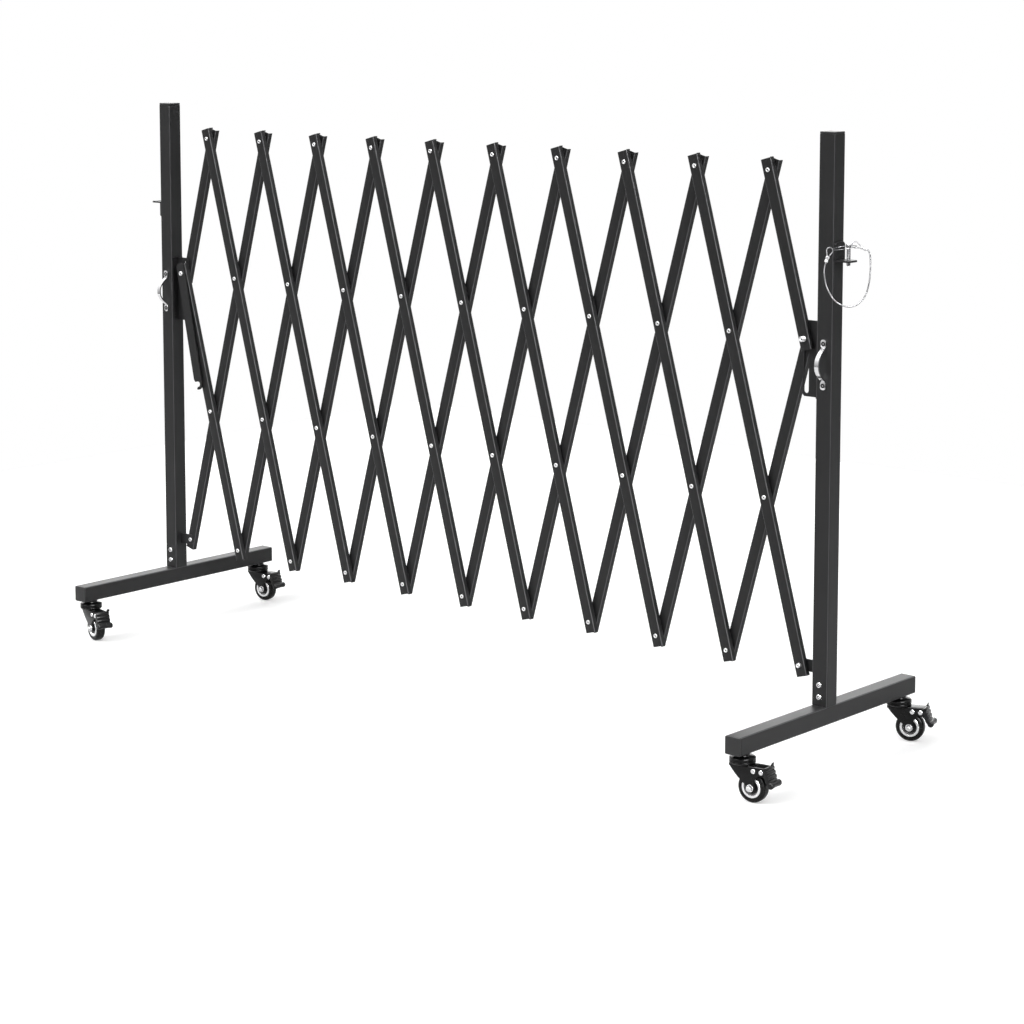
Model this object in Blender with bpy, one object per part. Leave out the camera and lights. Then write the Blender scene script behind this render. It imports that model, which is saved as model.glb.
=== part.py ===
"""Expandable safety barrier: two posts on caster feet, joined by a folding lattice of channel bars.

X runs along the barrier, -Y is its front and Z is up. The origin is on the floor, in the middle of the
barrier's whole length.
"""

import math

import bmesh
import bpy
from mathutils import Matrix, Vector

# Clearances and overruns.
GAP = 0.0003
OVERRUN = 0.004
WELD = 0.0006
MERGE = 0.000001

# Square tube of the posts and feet.
TUBE = 0.038
TUBE_WALL = 0.0015
TUBE_ROUND = 0.003
ROUND_STEPS = 2
FLOOR_TO_FOOT = 0.098
POST_HEIGHT = 1.190
FOOT_LENGTH = 0.640
POST_LIP = 0.005
FOOT_LIP = 0.004
CAP_PLUG = 0.014
CAP_CHAMFER = 0.0012
SPIGOT_HEIGHT = 0.070
SPIGOT_BOLT_RISES = (0.0195, 0.045)
BOLT_SHANK = 0.003
BOLT_HEAD = 0.0055
BOLT_HEAD_HEIGHT = 0.003
BOLT_DIMPLE = 0.002

# Lattice of channel bars.
CELLS = 10
CELL_WIDTH = 0.190
PIVOT_PITCH = 0.356
PIVOT_OFFSET = 0.055
PIVOT_RISE = 0.0765
EXPANDED_CELL = 0.415
BAR_WIDTH = 0.026
BAR_DEPTH = 0.012
BAR_WALL = 0.0015
BAR_CHAMFER = 0.0015
BAR_OVERHANG = 0.024

# Rivets of the lattice.
PIN_SIDES = 8
RIVET_SHANK = 0.003
RIVET_HEAD = 0.0048
RIVET_HEAD_HEIGHT = 0.002
RIVET_TAIL = 0.0044
RIVET_TAIL_HEIGHT = 0.0014
END_PIN_HEAD_HEIGHT = 0.006

# Tabs and slot brackets that carry the lattice on the posts.
TAB_THICKNESS = 0.002
TAB_HEIGHT = 0.026
SLIDER_SHANK = 0.005
SLIDER_SLACK = 0.0004
SLIDER_COLLAR = 0.006
SLIDER_COLLAR_HEIGHT = 0.003
SLIDER_NECK = 0.004
SLIDER_HEAD = 0.007
SLIDER_HEAD_HEIGHT = 0.0025
BRACKET_BASE = 0.032
BRACKET_RIM = 0.0068
BRACKET_LIP = 0.0035
BRACKET_ROUND = 0.004
BRACKET_SCREW_INSET = 0.014
BRACKET_SCREW_SPREAD = 0.0085
MOUNT_SHANK = 0.0025
MOUNT_HEAD = 0.004
MOUNT_HEAD_HEIGHT = 0.0015
SCREW_REACH = 0.004

# Hook arm on the left slider pin.
FOLDED_CELL = 0.02825
HOOK_THICKNESS = 0.003
HOOK_WIDTH = 0.027
HOOK_TOP = 0.026
HOOK_NOTCH = 0.0068
HOOK_ROUND = 0.014
HOOK_ANGLE = math.radians(12)

# Bow handles.
HANDLE_CENTRE_RISE = 0.71465
HANDLE_HOLES = 0.0863
HANDLE_BOW = 0.027
HANDLE_WIDTH = 0.011
HANDLE_THICKNESS = 0.0032
HANDLE_TAB = 0.0088
HANDLE_RISE_SHARES = (-0.39, -0.25, -0.10, 0.10, 0.25, 0.39)
HANDLE_BOW_SHARES = (0.0, 0.60, 0.97, 0.97, 0.60, 0.0)

# Link brackets on the outer faces of the posts, the lock pin and its lanyard.
LINK_THICKNESS = 0.004
LINK_REACH = 0.037
LINK_WIDTH = 0.034
LINK_LEG = 0.040
LINK_CHAMFER = 0.005
LINK_HOLE_OFFSET = 0.0243
LINK_SCREW_RISE = 0.024
RIGHT_LINK_RISE = 0.9306
LEFT_LINK_LIFT = 0.010
LOCK_PIN = 0.004
LOCK_PIN_BELOW = 0.008
LOCK_PIN_ABOVE = 0.026
LOCK_HEAD = 0.0055
LOCK_HEAD_HEIGHT = 0.007
LOCK_TIP = 0.0015
RING_RADIUS = 0.026
RING_WIRE = 0.0009
RING_SIDES = 20
WIRE_SIDES = 6
RING_PLAY = 0.0006
RING_SWING = math.radians(14)
RING_TILT = math.radians(8.8)
LANYARD_TURN = math.radians(40.6)
CABLE = 0.0015
CABLE_STEPS = 2
FERRULE = 0.0034
FERRULE_LENGTH = 0.0125
EYE_WIRE = 0.001
EYE_RADIUS = 0.0064
EYE_LENGTH = 0.0185
EYE_SPREAD = 0.0012
EYE_STEPS = 9
FRONT_EYE = (-0.0293, -0.0060)
FRONT_EYE_TURN = math.radians(17)
PIN_EYE = (0.0221, 0.0060)
PIN_EYE_TURN = math.radians(-67)

# Casters, with places given from the axle of the wheel or from the foot.
STEM_INSET = 0.035
STEM = 0.005
STEM_RISE = 0.014
RACE = 0.0245
RACE_NECK = 0.015
RACE_CAP_HEIGHT = 0.0155
RACE_SLOPE = 0.009
RACE_EDGE = 0.0016
RACE_LOWER_HEIGHT = 0.005
KING_PIN = 0.0045
KING_HEAD = 0.008
KING_HEAD_HEIGHT = 0.0025
PLATE = 0.0025
WHEEL = 0.0315
WHEEL_WIDTH = 0.022
WHEEL_HUB_WIDTH = 0.0245
WHEEL_RING = 0.0205
WHEEL_RING_INNER = 0.0165
WHEEL_RECESS = 0.002
WHEEL_HUB = 0.0095
WHEEL_SIDES = 16
TYRE_ROUND = 0.006
TYRE_STEPS = 2
RACE_SIDES = 12
AXLE = 0.004
AXLE_END = 0.0015
AXLE_NUT = 0.007
AXLE_NUT_HEIGHT = 0.0055
TRAIL = 0.026
FORK_BOSS = 0.0105
FORK_LOBE = 0.009
FORK_RIVET = 0.0052
FORK_RIVET_HEIGHT = 0.002
FORK_RIVET_RISE = 0.0355
FORK_RIVET_PLACES = (0.0065, 0.0245)
FORK_BACK = 0.020
FORK_WAIST_RISE = 0.017
FORK_WAIST_BACK = 0.0245
FORK_WAIST_FRONT = 0.0085
FORK_TOP_REACH = 0.031
PEDAL_WIDTH = 0.040
PEDAL_CHEEK = 0.0016
PEDAL_CHEEK_ROUND = 0.0065
PEDAL_THICKNESS = 0.0035
PEDAL_DROP = 0.029
PEDAL_SLOPE = 0.010
PEDAL_START = 0.036
PEDAL_TOP_RISE = 0.0465
PEDAL_LIP_OUT = 0.008
PEDAL_LIP_DROP = 0.010
PEDAL_EAR = 0.005
PEDAL_EAR_WIDTH = 0.007
CASTER_TURNS = {"front_left": -13.5, "rear_left": 5, "front_right": 6, "rear_right": 19}

# Route of the free cable in the lanyard's plane, as X and Z from the ring's centre, between the ferrules.
CABLE_ROUTE = (
    (-0.0393, -0.0420),
    (-0.0392, -0.0560),
    (-0.0345, -0.0790),
    (-0.0210, -0.1035),
    (-0.0040, -0.1165),
    (0.0135, -0.1200),
    (0.0290, -0.1145),
    (0.0430, -0.0985),
    (0.0502, -0.0760),
    (0.0530, -0.0520),
    (0.0532, -0.0300),
    (0.0520, -0.0140),
)

# Sizes that follow from the values above.
HALF_TUBE = TUBE / 2
INNER_TUBE = HALF_TUBE - TUBE_WALL
INNER_ROUND = TUBE_ROUND - TUBE_WALL
FOOT_TOP = FLOOR_TO_FOOT + TUBE
POST_TOP = FOOT_TOP + POST_HEIGHT
REST_ANGLE = math.asin(CELL_WIDTH / 2 / PIVOT_PITCH)
FOLDED_ANGLE = math.asin(FOLDED_CELL / 2 / PIVOT_PITCH)
EXPANDED_ANGLE = math.asin(EXPANDED_CELL / 2 / PIVOT_PITCH)
HALF_SPAN = CELLS * CELL_WIDTH / 2 + PIVOT_OFFSET
LEFT_REACH = HALF_TUBE + LINK_REACH
RIGHT_REACH = TRAIL + PEDAL_START + PEDAL_SLOPE + PEDAL_LIP_OUT
LEFT_POST = (LEFT_REACH - RIGHT_REACH) / 2 - HALF_SPAN
RIGHT_POST = LEFT_POST + 2 * HALF_SPAN
LATTICE_START = LEFT_POST + PIVOT_OFFSET
LOWER_PIVOT = FOOT_TOP + PIVOT_RISE
HALF_TAB = TAB_THICKNESS / 2
FRONT_WEB = HALF_TAB + GAP + BAR_DEPTH
BACK_WEB = HALF_TAB + GAP
BACK_SEAT = BACK_WEB + BAR_WALL + GAP
COLLAR_TOP = FRONT_WEB + SLIDER_COLLAR_HEIGHT
HOOK_LENGTH = FOLDED_CELL * CELLS
AXLE_RISE = WHEEL
TYRE = WHEEL / math.cos(math.pi / WHEEL_SIDES)
PLATE_INNER = WHEEL_HUB_WIDTH / 2 + GAP
PLATE_OUTER = PLATE_INNER + PLATE

# Turns that lay a shape drawn in X and Y, and raised along Z, against another face.
UPRIGHT = Matrix.Identity(4)
TO_FRONT = Matrix.Rotation(math.pi / 2, 4, "X")
TO_SIDE = Matrix(((0, 0, 1, 0), (1, 0, 0, 0), (0, 1, 0, 0), (0, 0, 0, 1)))

BLACK_STEEL = ("black_steel", (0.045, 0.045, 0.047, 1), 0.45, 0.0)
BLACK_PLASTIC = ("black_plastic", (0.035, 0.035, 0.036, 1), 0.5, 0.0)
BLACK_RUBBER = ("black_rubber", (0.03, 0.03, 0.03, 1), 0.65, 0.0)
BRIGHT_STEEL = ("bright_steel", (0.75, 0.75, 0.76, 1), 0.25, 1.0)


def material(name, finish):
    """Return a material of the named piece, with the colour, roughness and metal of its finish."""
    label, colour, roughness, metallic = finish
    made = bpy.data.materials.new(name + "_" + label)
    made.use_nodes = True
    shader = made.node_tree.nodes["Principled BSDF"]
    shader.inputs["Base Color"].default_value = colour
    shader.inputs["Roughness"].default_value = roughness
    shader.inputs["Metallic"].default_value = metallic
    return made


def arc(centre, radius, start, end, steps):
    """Return points round a centre from one angle to another, both ends included."""
    points = []
    for step in range(steps + 1):
        angle = start + (end - start) * step / steps
        points.append((centre[0] + radius * math.cos(angle), centre[1] + radius * math.sin(angle)))
    return points


def rounded_square(half, radius):
    """Return the outline of a square with rounded corners."""
    outline = []
    for quarter, (x, y) in enumerate(((1, 1), (-1, 1), (-1, -1), (1, -1))):
        centre = (x * (half - radius), y * (half - radius))
        start = quarter * math.pi / 2
        outline += arc(centre, radius, start, start + math.pi / 2, ROUND_STEPS)
    return outline


def prism(outline, start, end, turn=UPRIGHT):
    """Return the mesh of an outline raised from start to end, then turned."""
    shape = bmesh.new()
    face = shape.faces.new([shape.verts.new((x, y, start)) for x, y in outline])
    raised = bmesh.ops.extrude_face_region(shape, geom=[face])
    corners = [item for item in raised["geom"] if isinstance(item, bmesh.types.BMVert)]
    bmesh.ops.translate(shape, vec=(0, 0, end - start), verts=corners)
    return finished(shape, turn)


def turned(profile, sides, turn=UPRIGHT):
    """Return the mesh of a profile of radii and heights, from axis to axis, spun about its axis."""
    shape = bmesh.new()
    points = [shape.verts.new((radius, 0, height)) for radius, height in profile]
    edges = [shape.edges.new(pair) for pair in zip(points, points[1:])]
    bmesh.ops.spin(shape, geom=points + edges, cent=(0, 0, 0), axis=(0, 0, 1), angle=2 * math.pi,
                   steps=sides, use_merge=True, use_duplicate=False)
    bmesh.ops.remove_doubles(shape, verts=shape.verts, dist=MERGE)
    return finished(shape, turn)


def cylinder(radius, start, end, sides, turn=UPRIGHT):
    """Return the mesh of a plain round bar."""
    return turned([(0, start), (radius, start), (radius, end), (0, end)], sides, turn)


def ring(radius, wire, sides, wire_sides, turn=UPRIGHT):
    """Return the mesh of a round ring of round wire."""
    shape = bmesh.new()
    circle = arc((radius, 0), wire, 0, 2 * math.pi, wire_sides)[:-1]
    section = [shape.verts.new((x, 0, z)) for x, z in circle]
    edges = [shape.edges.new((section[i - 1], section[i])) for i in range(wire_sides)]
    bmesh.ops.spin(shape, geom=section + edges, cent=(0, 0, 0), axis=(0, 0, 1), angle=2 * math.pi,
                   steps=sides, use_merge=True, use_duplicate=False)
    bmesh.ops.remove_doubles(shape, verts=shape.verts, dist=MERGE)
    return finished(shape, turn)


def finished(shape, turn):
    """Turn a shape, point its faces out and store it as a mesh."""
    shape.transform(turn)
    bmesh.ops.recalc_face_normals(shape, faces=shape.faces)
    if shape.calc_volume(signed=True) < 0:
        bmesh.ops.reverse_faces(shape, faces=shape.faces)
    mesh = bpy.data.meshes.new("shape")
    shape.to_mesh(mesh)
    shape.free()
    return mesh


def moved(mesh, x=0, y=0, z=0):
    """Return the mesh shifted by the given distances."""
    mesh.transform(Matrix.Translation((x, y, z)))
    return mesh


def merged(meshes):
    """Return one mesh that holds several meshes that don't touch."""
    shape = bmesh.new()
    for mesh in meshes:
        shape.from_mesh(mesh)
    whole = bpy.data.meshes.new("shapes")
    shape.to_mesh(whole)
    shape.free()
    return whole


def solid(base, additions=(), cuts=()):
    """Return the mesh of a base with additions joined on, then cuts taken away."""
    body = bpy.data.objects.new("body", base)
    bpy.context.collection.objects.link(body)
    steps = [(mesh, "UNION") for mesh in additions] + [(mesh, "DIFFERENCE") for mesh in cuts]
    tools = []
    for mesh, operation in steps:
        tool = bpy.data.objects.new("tool", mesh)
        bpy.context.collection.objects.link(tool)
        tools.append(tool)
        modifier = body.modifiers.new(operation, "BOOLEAN")
        modifier.solver = "EXACT"
        modifier.operation = operation
        modifier.object = tool
    graph = bpy.context.evaluated_depsgraph_get()
    result = bpy.data.meshes.new_from_object(body.evaluated_get(graph))
    for item in [body] + tools:
        bpy.data.objects.remove(item)
    return result


def place(name, mesh, finish, parent=None, location=(0, 0, 0)):
    """Add a named object with its own material, smooth on its round faces."""
    item = bpy.data.objects.new(name, mesh)
    bpy.context.collection.objects.link(item)
    if not mesh.materials:
        mesh.materials.append(material(name, finish))
        mesh.shade_smooth()
        mesh.set_sharp_from_angle(angle=math.radians(40))
    item.parent = parent
    item.location = location
    return item


def axis_empty(name, location, turn=0, about="Y", parent=None):
    """Add an empty on a joint's axis, turned about it."""
    empty = bpy.data.objects.new(name, None)
    bpy.context.collection.objects.link(empty)
    empty.location = location
    empty.rotation_euler["XYZ".index(about)] = turn
    empty.parent = parent
    return empty


def hole_radius(shank):
    """Return the radius of a hole with flat sides that clears a round shank."""
    return (shank + GAP) / math.cos(math.pi / PIN_SIDES)


def pivot_pin(head_top, head_base, seat):
    """Return a rivet along -Y: head in front, shank, and a low domed tail behind its seat."""
    profile = [
        (0, head_top),
        (RIVET_HEAD, head_top),
        (RIVET_HEAD, head_base - WELD),
        (RIVET_SHANK, head_base - WELD),
        (RIVET_SHANK, -seat),
        (RIVET_TAIL, -seat),
        (0, -seat - RIVET_TAIL_HEIGHT),
    ]
    return turned(profile, PIN_SIDES, TO_FRONT)


def slider_pin():
    """Return a slider pin: head, neck for the hook, collar, shank for the slot and back tail."""
    neck_top = COLLAR_TOP + HOOK_THICKNESS + 2 * GAP
    head_top = neck_top + SLIDER_HEAD_HEIGHT
    profile = [
        (0, head_top),
        (SLIDER_HEAD, head_top),
        (SLIDER_HEAD, neck_top),
        (SLIDER_NECK, neck_top),
        (SLIDER_NECK, COLLAR_TOP),
        (SLIDER_COLLAR, COLLAR_TOP),
        (SLIDER_COLLAR, FRONT_WEB - WELD),
        (SLIDER_SHANK, FRONT_WEB - WELD),
        (SLIDER_SHANK, -BACK_SEAT),
        (SLIDER_HEAD, -BACK_SEAT),
        (SLIDER_HEAD, -BACK_SEAT - RIVET_TAIL_HEIGHT),
        (0, -BACK_SEAT - RIVET_TAIL_HEIGHT),
    ]
    return turned(profile, PIN_SIDES, TO_FRONT)


def channel(web, pitches):
    """Return a channel bar hanging from its top pivot, its web's outer face at the given Y."""
    half = BAR_WIDTH / 2
    inner = half - BAR_WALL
    rim = web + BAR_DEPTH
    outline = [
        (-half, rim),
        (-half, web + BAR_CHAMFER),
        (-half + BAR_CHAMFER, web),
        (half - BAR_CHAMFER, web),
        (half, web + BAR_CHAMFER),
        (half, rim),
        (inner, rim),
        (inner, web + BAR_WALL),
        (-inner, web + BAR_WALL),
        (-inner, rim),
    ]
    return prism(outline, -pitches * PIVOT_PITCH - BAR_OVERHANG, BAR_OVERHANG)


def lattice_rivet():
    """Return the rivet that joins two crossing bars, fixed in the front one."""
    return pivot_pin(FRONT_WEB + RIVET_HEAD_HEIGHT, FRONT_WEB, BACK_SEAT)


def end_pin():
    """Return the taller pin that hangs the right post's tab on the last full front bar."""
    return pivot_pin(FRONT_WEB + END_PIN_HEAD_HEIGHT, FRONT_WEB, BACK_WEB)


def front_bar(pins):
    """Return a front bar with one pin a pivot, listed from the top."""
    placed = [moved(pin, z=-step * PIVOT_PITCH) for step, pin in enumerate(pins)]
    return solid(channel(-FRONT_WEB, len(pins) - 1), additions=[merged(placed)])


def back_bar(shanks):
    """Return a back bar with one hole a pivot, for shanks of the radii listed from the top."""
    holes = []
    for step, shank in enumerate(shanks):
        hole = cylinder(hole_radius(shank), -BACK_SEAT - OVERRUN, 0, PIN_SIDES, TO_FRONT)
        holes.append(moved(hole, z=-step * PIVOT_PITCH))
    return solid(channel(BACK_WEB, len(shanks) - 1), cuts=[merged(holes)])


def pivot_place(cell, level):
    """Return where a pivot lies: cells from the left pivot line, and pitches above the lower pivots."""
    rise = level * PIVOT_PITCH * math.cos(REST_ANGLE)
    return (LATTICE_START + cell * CELL_WIDTH, 0, LOWER_PIVOT + rise)


def add_bar(name, mesh, top_cell, top_level, joint_step, lean):
    """Add a bar under an empty on its joint, joint_step pitches below the bar's top pivot."""
    cell = top_cell - math.copysign(joint_step / 2, lean)
    joint = axis_empty(name + "_joint", pivot_place(cell, top_level - joint_step), turn=lean)
    place(name, mesh, BLACK_STEEL, joint, (0, 0, joint_step * PIVOT_PITCH))


def add_lattice():
    """Add the 11 front bars and the 11 back bars."""
    full_front = front_bar([lattice_rivet() for _ in range(4)])
    last_front = front_bar([lattice_rivet() for _ in range(3)] + [end_pin()])
    left_front = front_bar([slider_pin(), lattice_rivet(), lattice_rivet()])
    right_front = front_bar([lattice_rivet(), slider_pin()])
    full_back = back_bar([RIVET_SHANK] * 4)
    left_back = back_bar([RIVET_SHANK, SLIDER_SHANK])
    right_back = back_bar([SLIDER_SHANK, RIVET_SHANK, RIVET_SHANK])
    add_bar("front_bar_00", left_front, 0, 2, 1, -REST_ANGLE)
    for number in range(1, CELLS):
        mesh = last_front if number == CELLS - 1 else full_front
        add_bar(f"front_bar_{number:02d}", mesh, number - 0.5, 3, front_joint_step(number), -REST_ANGLE)
    add_bar(f"front_bar_{CELLS:02d}", right_front, CELLS - 0.5, 3, 1, -REST_ANGLE)
    add_bar("back_bar_01", left_back, 0.5, 3, 1, REST_ANGLE)
    for number in range(2, CELLS + 1):
        add_bar(f"back_bar_{number:02d}", full_back, number - 0.5, 3, back_joint_step(number), REST_ANGLE)
    add_bar(f"back_bar_{CELLS + 1:02d}", right_back, CELLS, 2, 2, REST_ANGLE)


def front_joint_step(number):
    """Return how many pitches below its top a front bar is jointed to the bar that carries it."""
    if number == CELLS - 1:
        return 2
    return (2, 1, 0)[number % 3]


def back_joint_step(number):
    """Return how many pitches below its top a back bar is jointed to the bar that carries it."""
    return (1, 2, 3)[number % 3]


def tube_shell(start, end, turn=UPRIGHT):
    """Return an open length of square tube."""
    outside = prism(rounded_square(HALF_TUBE, TUBE_ROUND), start, end, turn)
    inside = prism(rounded_square(INNER_TUBE, INNER_ROUND), start - OVERRUN, end + OVERRUN, turn)
    return solid(outside, cuts=[inside])


def tube_plug(lip, length, turn=UPRIGHT):
    """Return a cap for a tube whose end is at zero: a lip outside and a plug down the bore."""
    top = prism(rounded_square(HALF_TUBE, TUBE_ROUND), GAP, lip)
    shape = bmesh.new()
    shape.from_mesh(top)
    rim = [edge for edge in shape.edges if all(vert.co.z > lip / 2 for vert in edge.verts)]
    bmesh.ops.bevel(shape, geom=rim, offset=CAP_CHAMFER, segments=1, affect="EDGES")
    plug = prism(rounded_square(INNER_TUBE - GAP, INNER_ROUND), -length, GAP + WELD)
    cap = solid(finished(shape, UPRIGHT), additions=[plug])
    cap.transform(turn)
    return cap


def slot_ends():
    """Return the heights of the slider pin's centre, folded and expanded, above the floor."""
    heights = [LOWER_PIVOT + 2 * PIVOT_PITCH * math.cos(angle) for angle in (EXPANDED_ANGLE, FOLDED_ANGLE)]
    return heights[0] - SLIDER_SLACK, heights[1] + SLIDER_SLACK


def bracket_ends():
    """Return the lowest and highest point of a slot bracket."""
    low, high = slot_ends()
    reach = hole_radius(SLIDER_SHANK) + BRACKET_RIM
    return low - reach, high + reach


def bracket_screw_places():
    """Return the Y and Z places of a slot bracket's screws."""
    low, high = bracket_ends()
    lower = (-BRACKET_SCREW_SPREAD, low + BRACKET_SCREW_INSET)
    upper = (BRACKET_SCREW_SPREAD, high - BRACKET_SCREW_INSET)
    return [lower, upper]


def side_screw(seat):
    """Return a screw along X: a head on a plate whose outer face is at seat, and a shank into the tube."""
    profile = [
        (0, seat + MOUNT_HEAD_HEIGHT),
        (MOUNT_HEAD, seat + MOUNT_HEAD_HEIGHT),
        (MOUNT_HEAD, seat - WELD),
        (MOUNT_SHANK, seat - WELD),
        (MOUNT_SHANK, INNER_TUBE - SCREW_REACH),
        (0, INNER_TUBE - SCREW_REACH),
    ]
    return turned(profile, PIN_SIDES, TO_SIDE)


def slot_bracket():
    """Return a slot bracket for the left post: a base on the tube and a slotted flange in the middle."""
    low, high = bracket_ends()
    seat = HALF_TUBE + GAP
    face = seat + TAB_THICKNESS
    half = BRACKET_BASE / 2
    base = prism([(-half, low), (half, low), (half, high), (-half, high)], seat, face, TO_SIDE)
    slot = hole_radius(SLIDER_SHANK)
    reach = PIVOT_OFFSET + slot + BRACKET_LIP
    corner = reach - BRACKET_ROUND
    outline = [(face - WELD, low), (corner, low), (reach, low + BRACKET_ROUND)]
    outline += [(reach, high - BRACKET_ROUND), (corner, high), (face - WELD, high)]
    flange = prism(outline, -HALF_TAB, HALF_TAB, TO_FRONT)
    slot_low, slot_high = slot_ends()
    opening = arc((PIVOT_OFFSET, slot_high), slot, 0, math.pi, PIN_SIDES)
    opening += arc((PIVOT_OFFSET, slot_low), slot, math.pi, 2 * math.pi, PIN_SIDES)
    slot_cut = prism(opening, -HALF_TAB - OVERRUN, HALF_TAB + OVERRUN, TO_FRONT)
    screws = [moved(side_screw(face), y=y, z=z) for y, z in bracket_screw_places()]
    return solid(base, additions=[flange, merged(screws)], cuts=[slot_cut])


def handle_rises():
    """Return the heights of the two screws of a handle."""
    centre = FOOT_TOP + HANDLE_CENTRE_RISE
    return centre - HANDLE_HOLES / 2, centre + HANDLE_HOLES / 2


def handle():
    """Return a bow handle for the front of a post: a bent band with round tabs and their screws."""
    seat = HALF_TUBE + GAP
    centre = FOOT_TOP + HANDLE_CENTRE_RISE
    inner = []
    outer = []
    for rise_share, bow_share in zip(HANDLE_RISE_SHARES, HANDLE_BOW_SHARES):
        rise = centre + rise_share * HANDLE_HOLES
        bow = -seat - bow_share * (HANDLE_BOW - HANDLE_THICKNESS)
        inner.append((bow, rise))
        outer.append((bow - HANDLE_THICKNESS, rise))
    low, high = handle_rises()
    outline = [(-seat, low)] + inner + [(-seat, high), (-seat - HANDLE_THICKNESS, high)]
    outline += outer[::-1] + [(-seat - HANDLE_THICKNESS, low)]
    band = prism(outline, -HANDLE_WIDTH / 2, HANDLE_WIDTH / 2, TO_SIDE)
    tabs = []
    screws = []
    for rise in (low, high):
        tab = cylinder(HANDLE_TAB, seat, seat + HANDLE_THICKNESS, RACE_SIDES, TO_FRONT)
        tabs.append(moved(tab, z=rise))
        screws.append(moved(front_screw(seat + HANDLE_THICKNESS), z=rise))
    return solid(band, additions=[merged(tabs), merged(screws)])


def front_screw(seat):
    """Return a screw along -Y: a head in front of seat and a shank through the wall."""
    screw = side_screw(seat)
    screw.transform(Matrix.Rotation(-math.pi / 2, 4, "Z"))
    return screw


def link_bracket():
    """Return a link bracket for the right post: a leg up the tube and a plate out from its foot."""
    seat = HALF_TUBE + GAP
    top = RIGHT_LINK_RISE + FOOT_TOP
    half = LINK_WIDTH / 2
    corner = half - LINK_CHAMFER
    reach = HALF_TUBE + LINK_REACH
    tip = reach - LINK_CHAMFER
    plate_outline = [(seat, -half), (tip, -half), (reach, -corner)]
    plate_outline += [(reach, corner), (tip, half), (seat, half)]
    plate = prism(plate_outline, top - LINK_THICKNESS, top)
    leg_foot = top - LINK_THICKNESS
    leg_top = leg_foot + LINK_LEG
    leg_outline = [(-half, leg_foot), (half, leg_foot), (half, leg_top - LINK_CHAMFER)]
    leg_outline += [(corner, leg_top), (-corner, leg_top), (-half, leg_top - LINK_CHAMFER)]
    leg = prism(leg_outline, seat, seat + LINK_THICKNESS, TO_SIDE)
    hole = cylinder(hole_radius(LOCK_PIN), top - LINK_THICKNESS - OVERRUN, top + OVERRUN, PIN_SIDES)
    screw = moved(side_screw(seat + LINK_THICKNESS), z=top + LINK_SCREW_RISE)
    return solid(plate, additions=[leg, screw], cuts=[moved(hole, x=HALF_TUBE + LINK_HOLE_OFFSET)])


def left_link_bracket():
    """Return the same bracket for the left post, its leg hanging down."""
    bracket = link_bracket()
    plate_top = FOOT_TOP + RIGHT_LINK_RISE
    bracket.transform(Matrix.Translation((0, 0, -plate_top)))
    bracket.transform(Matrix.Rotation(math.pi, 4, "Y"))
    bracket.transform(Matrix.Translation((0, 0, plate_top - LINK_THICKNESS + LEFT_LINK_LIFT)))
    return bracket


def link_screw_rise(side):
    """Return the height of the link bracket's screw on the right (1) or left (-1) post."""
    top = FOOT_TOP + RIGHT_LINK_RISE
    if side > 0:
        return top + LINK_SCREW_RISE
    return top - LINK_THICKNESS + LEFT_LINK_LIFT - LINK_SCREW_RISE


def tube_holes(side):
    """Return the cutters of a post's holes for its bracket, handle, link bracket and bolts."""
    radius = hole_radius(MOUNT_SHANK)
    cuts = []
    inward = sorted((side * (INNER_TUBE - OVERRUN), side * (HALF_TUBE + OVERRUN)))
    outward = sorted((-inward[0], -inward[1]))
    for y, z in bracket_screw_places():
        cuts.append(moved(cylinder(radius, *inward, PIN_SIDES, TO_SIDE), y=side * y, z=z))
    cuts.append(moved(cylinder(radius, *outward, PIN_SIDES, TO_SIDE), z=link_screw_rise(-side)))
    wall = (INNER_TUBE - OVERRUN, HALF_TUBE + OVERRUN)
    for rise in handle_rises():
        cuts.append(moved(cylinder(radius, *wall, PIN_SIDES, TO_FRONT), z=rise))
    for rise in SPIGOT_BOLT_RISES:
        bolt_hole = cylinder(hole_radius(BOLT_SHANK), *wall, PIN_SIDES, TO_FRONT)
        cuts.append(moved(bolt_hole, z=FOOT_TOP + rise))
    return cuts


def post(side):
    """Return a post and its lower tab; side is 1 for the left post, whose inner face looks to +X."""
    tube = tube_shell(FOOT_TOP + GAP, POST_TOP - POST_LIP)
    radius = TAB_HEIGHT / 2
    root = HALF_TUBE - TUBE_WALL / 2
    outline = [(root, LOWER_PIVOT + radius), (root, LOWER_PIVOT - radius)]
    outline += arc((PIVOT_OFFSET, LOWER_PIVOT), radius, -math.pi / 2, math.pi / 2, PIN_SIDES)
    tab = prism([(side * x, z) for x, z in outline], -HALF_TAB, HALF_TAB, TO_FRONT)
    if side > 0:
        pin = pivot_pin(HALF_TAB + RIVET_HEAD_HEIGHT, HALF_TAB, BACK_SEAT)
        return solid(tube, [tab, moved(pin, x=PIVOT_OFFSET, z=LOWER_PIVOT)], [merged(tube_holes(side))])
    hole = cylinder(hole_radius(RIVET_SHANK), -OVERRUN, OVERRUN, PIN_SIDES, TO_FRONT)
    holes = merged(tube_holes(side) + [moved(hole, x=-PIVOT_OFFSET, z=LOWER_PIVOT)])
    return solid(tube, [tab], [holes])


def spigot_bolt():
    """Return a bolt along -Y through the post's front wall, its shank rooted in the spigot."""
    seat = HALF_TUBE + GAP
    profile = [
        (0, seat + BOLT_HEAD_HEIGHT - BOLT_DIMPLE),
        (BOLT_SHANK, seat + BOLT_HEAD_HEIGHT),
        (BOLT_HEAD, seat + BOLT_HEAD_HEIGHT / 2),
        (BOLT_HEAD, seat),
        (BOLT_SHANK, seat),
        (BOLT_SHANK, INNER_TUBE - GAP - WELD),
        (0, INNER_TUBE - GAP - WELD),
    ]
    return turned(profile, PIN_SIDES, TO_FRONT)


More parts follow.
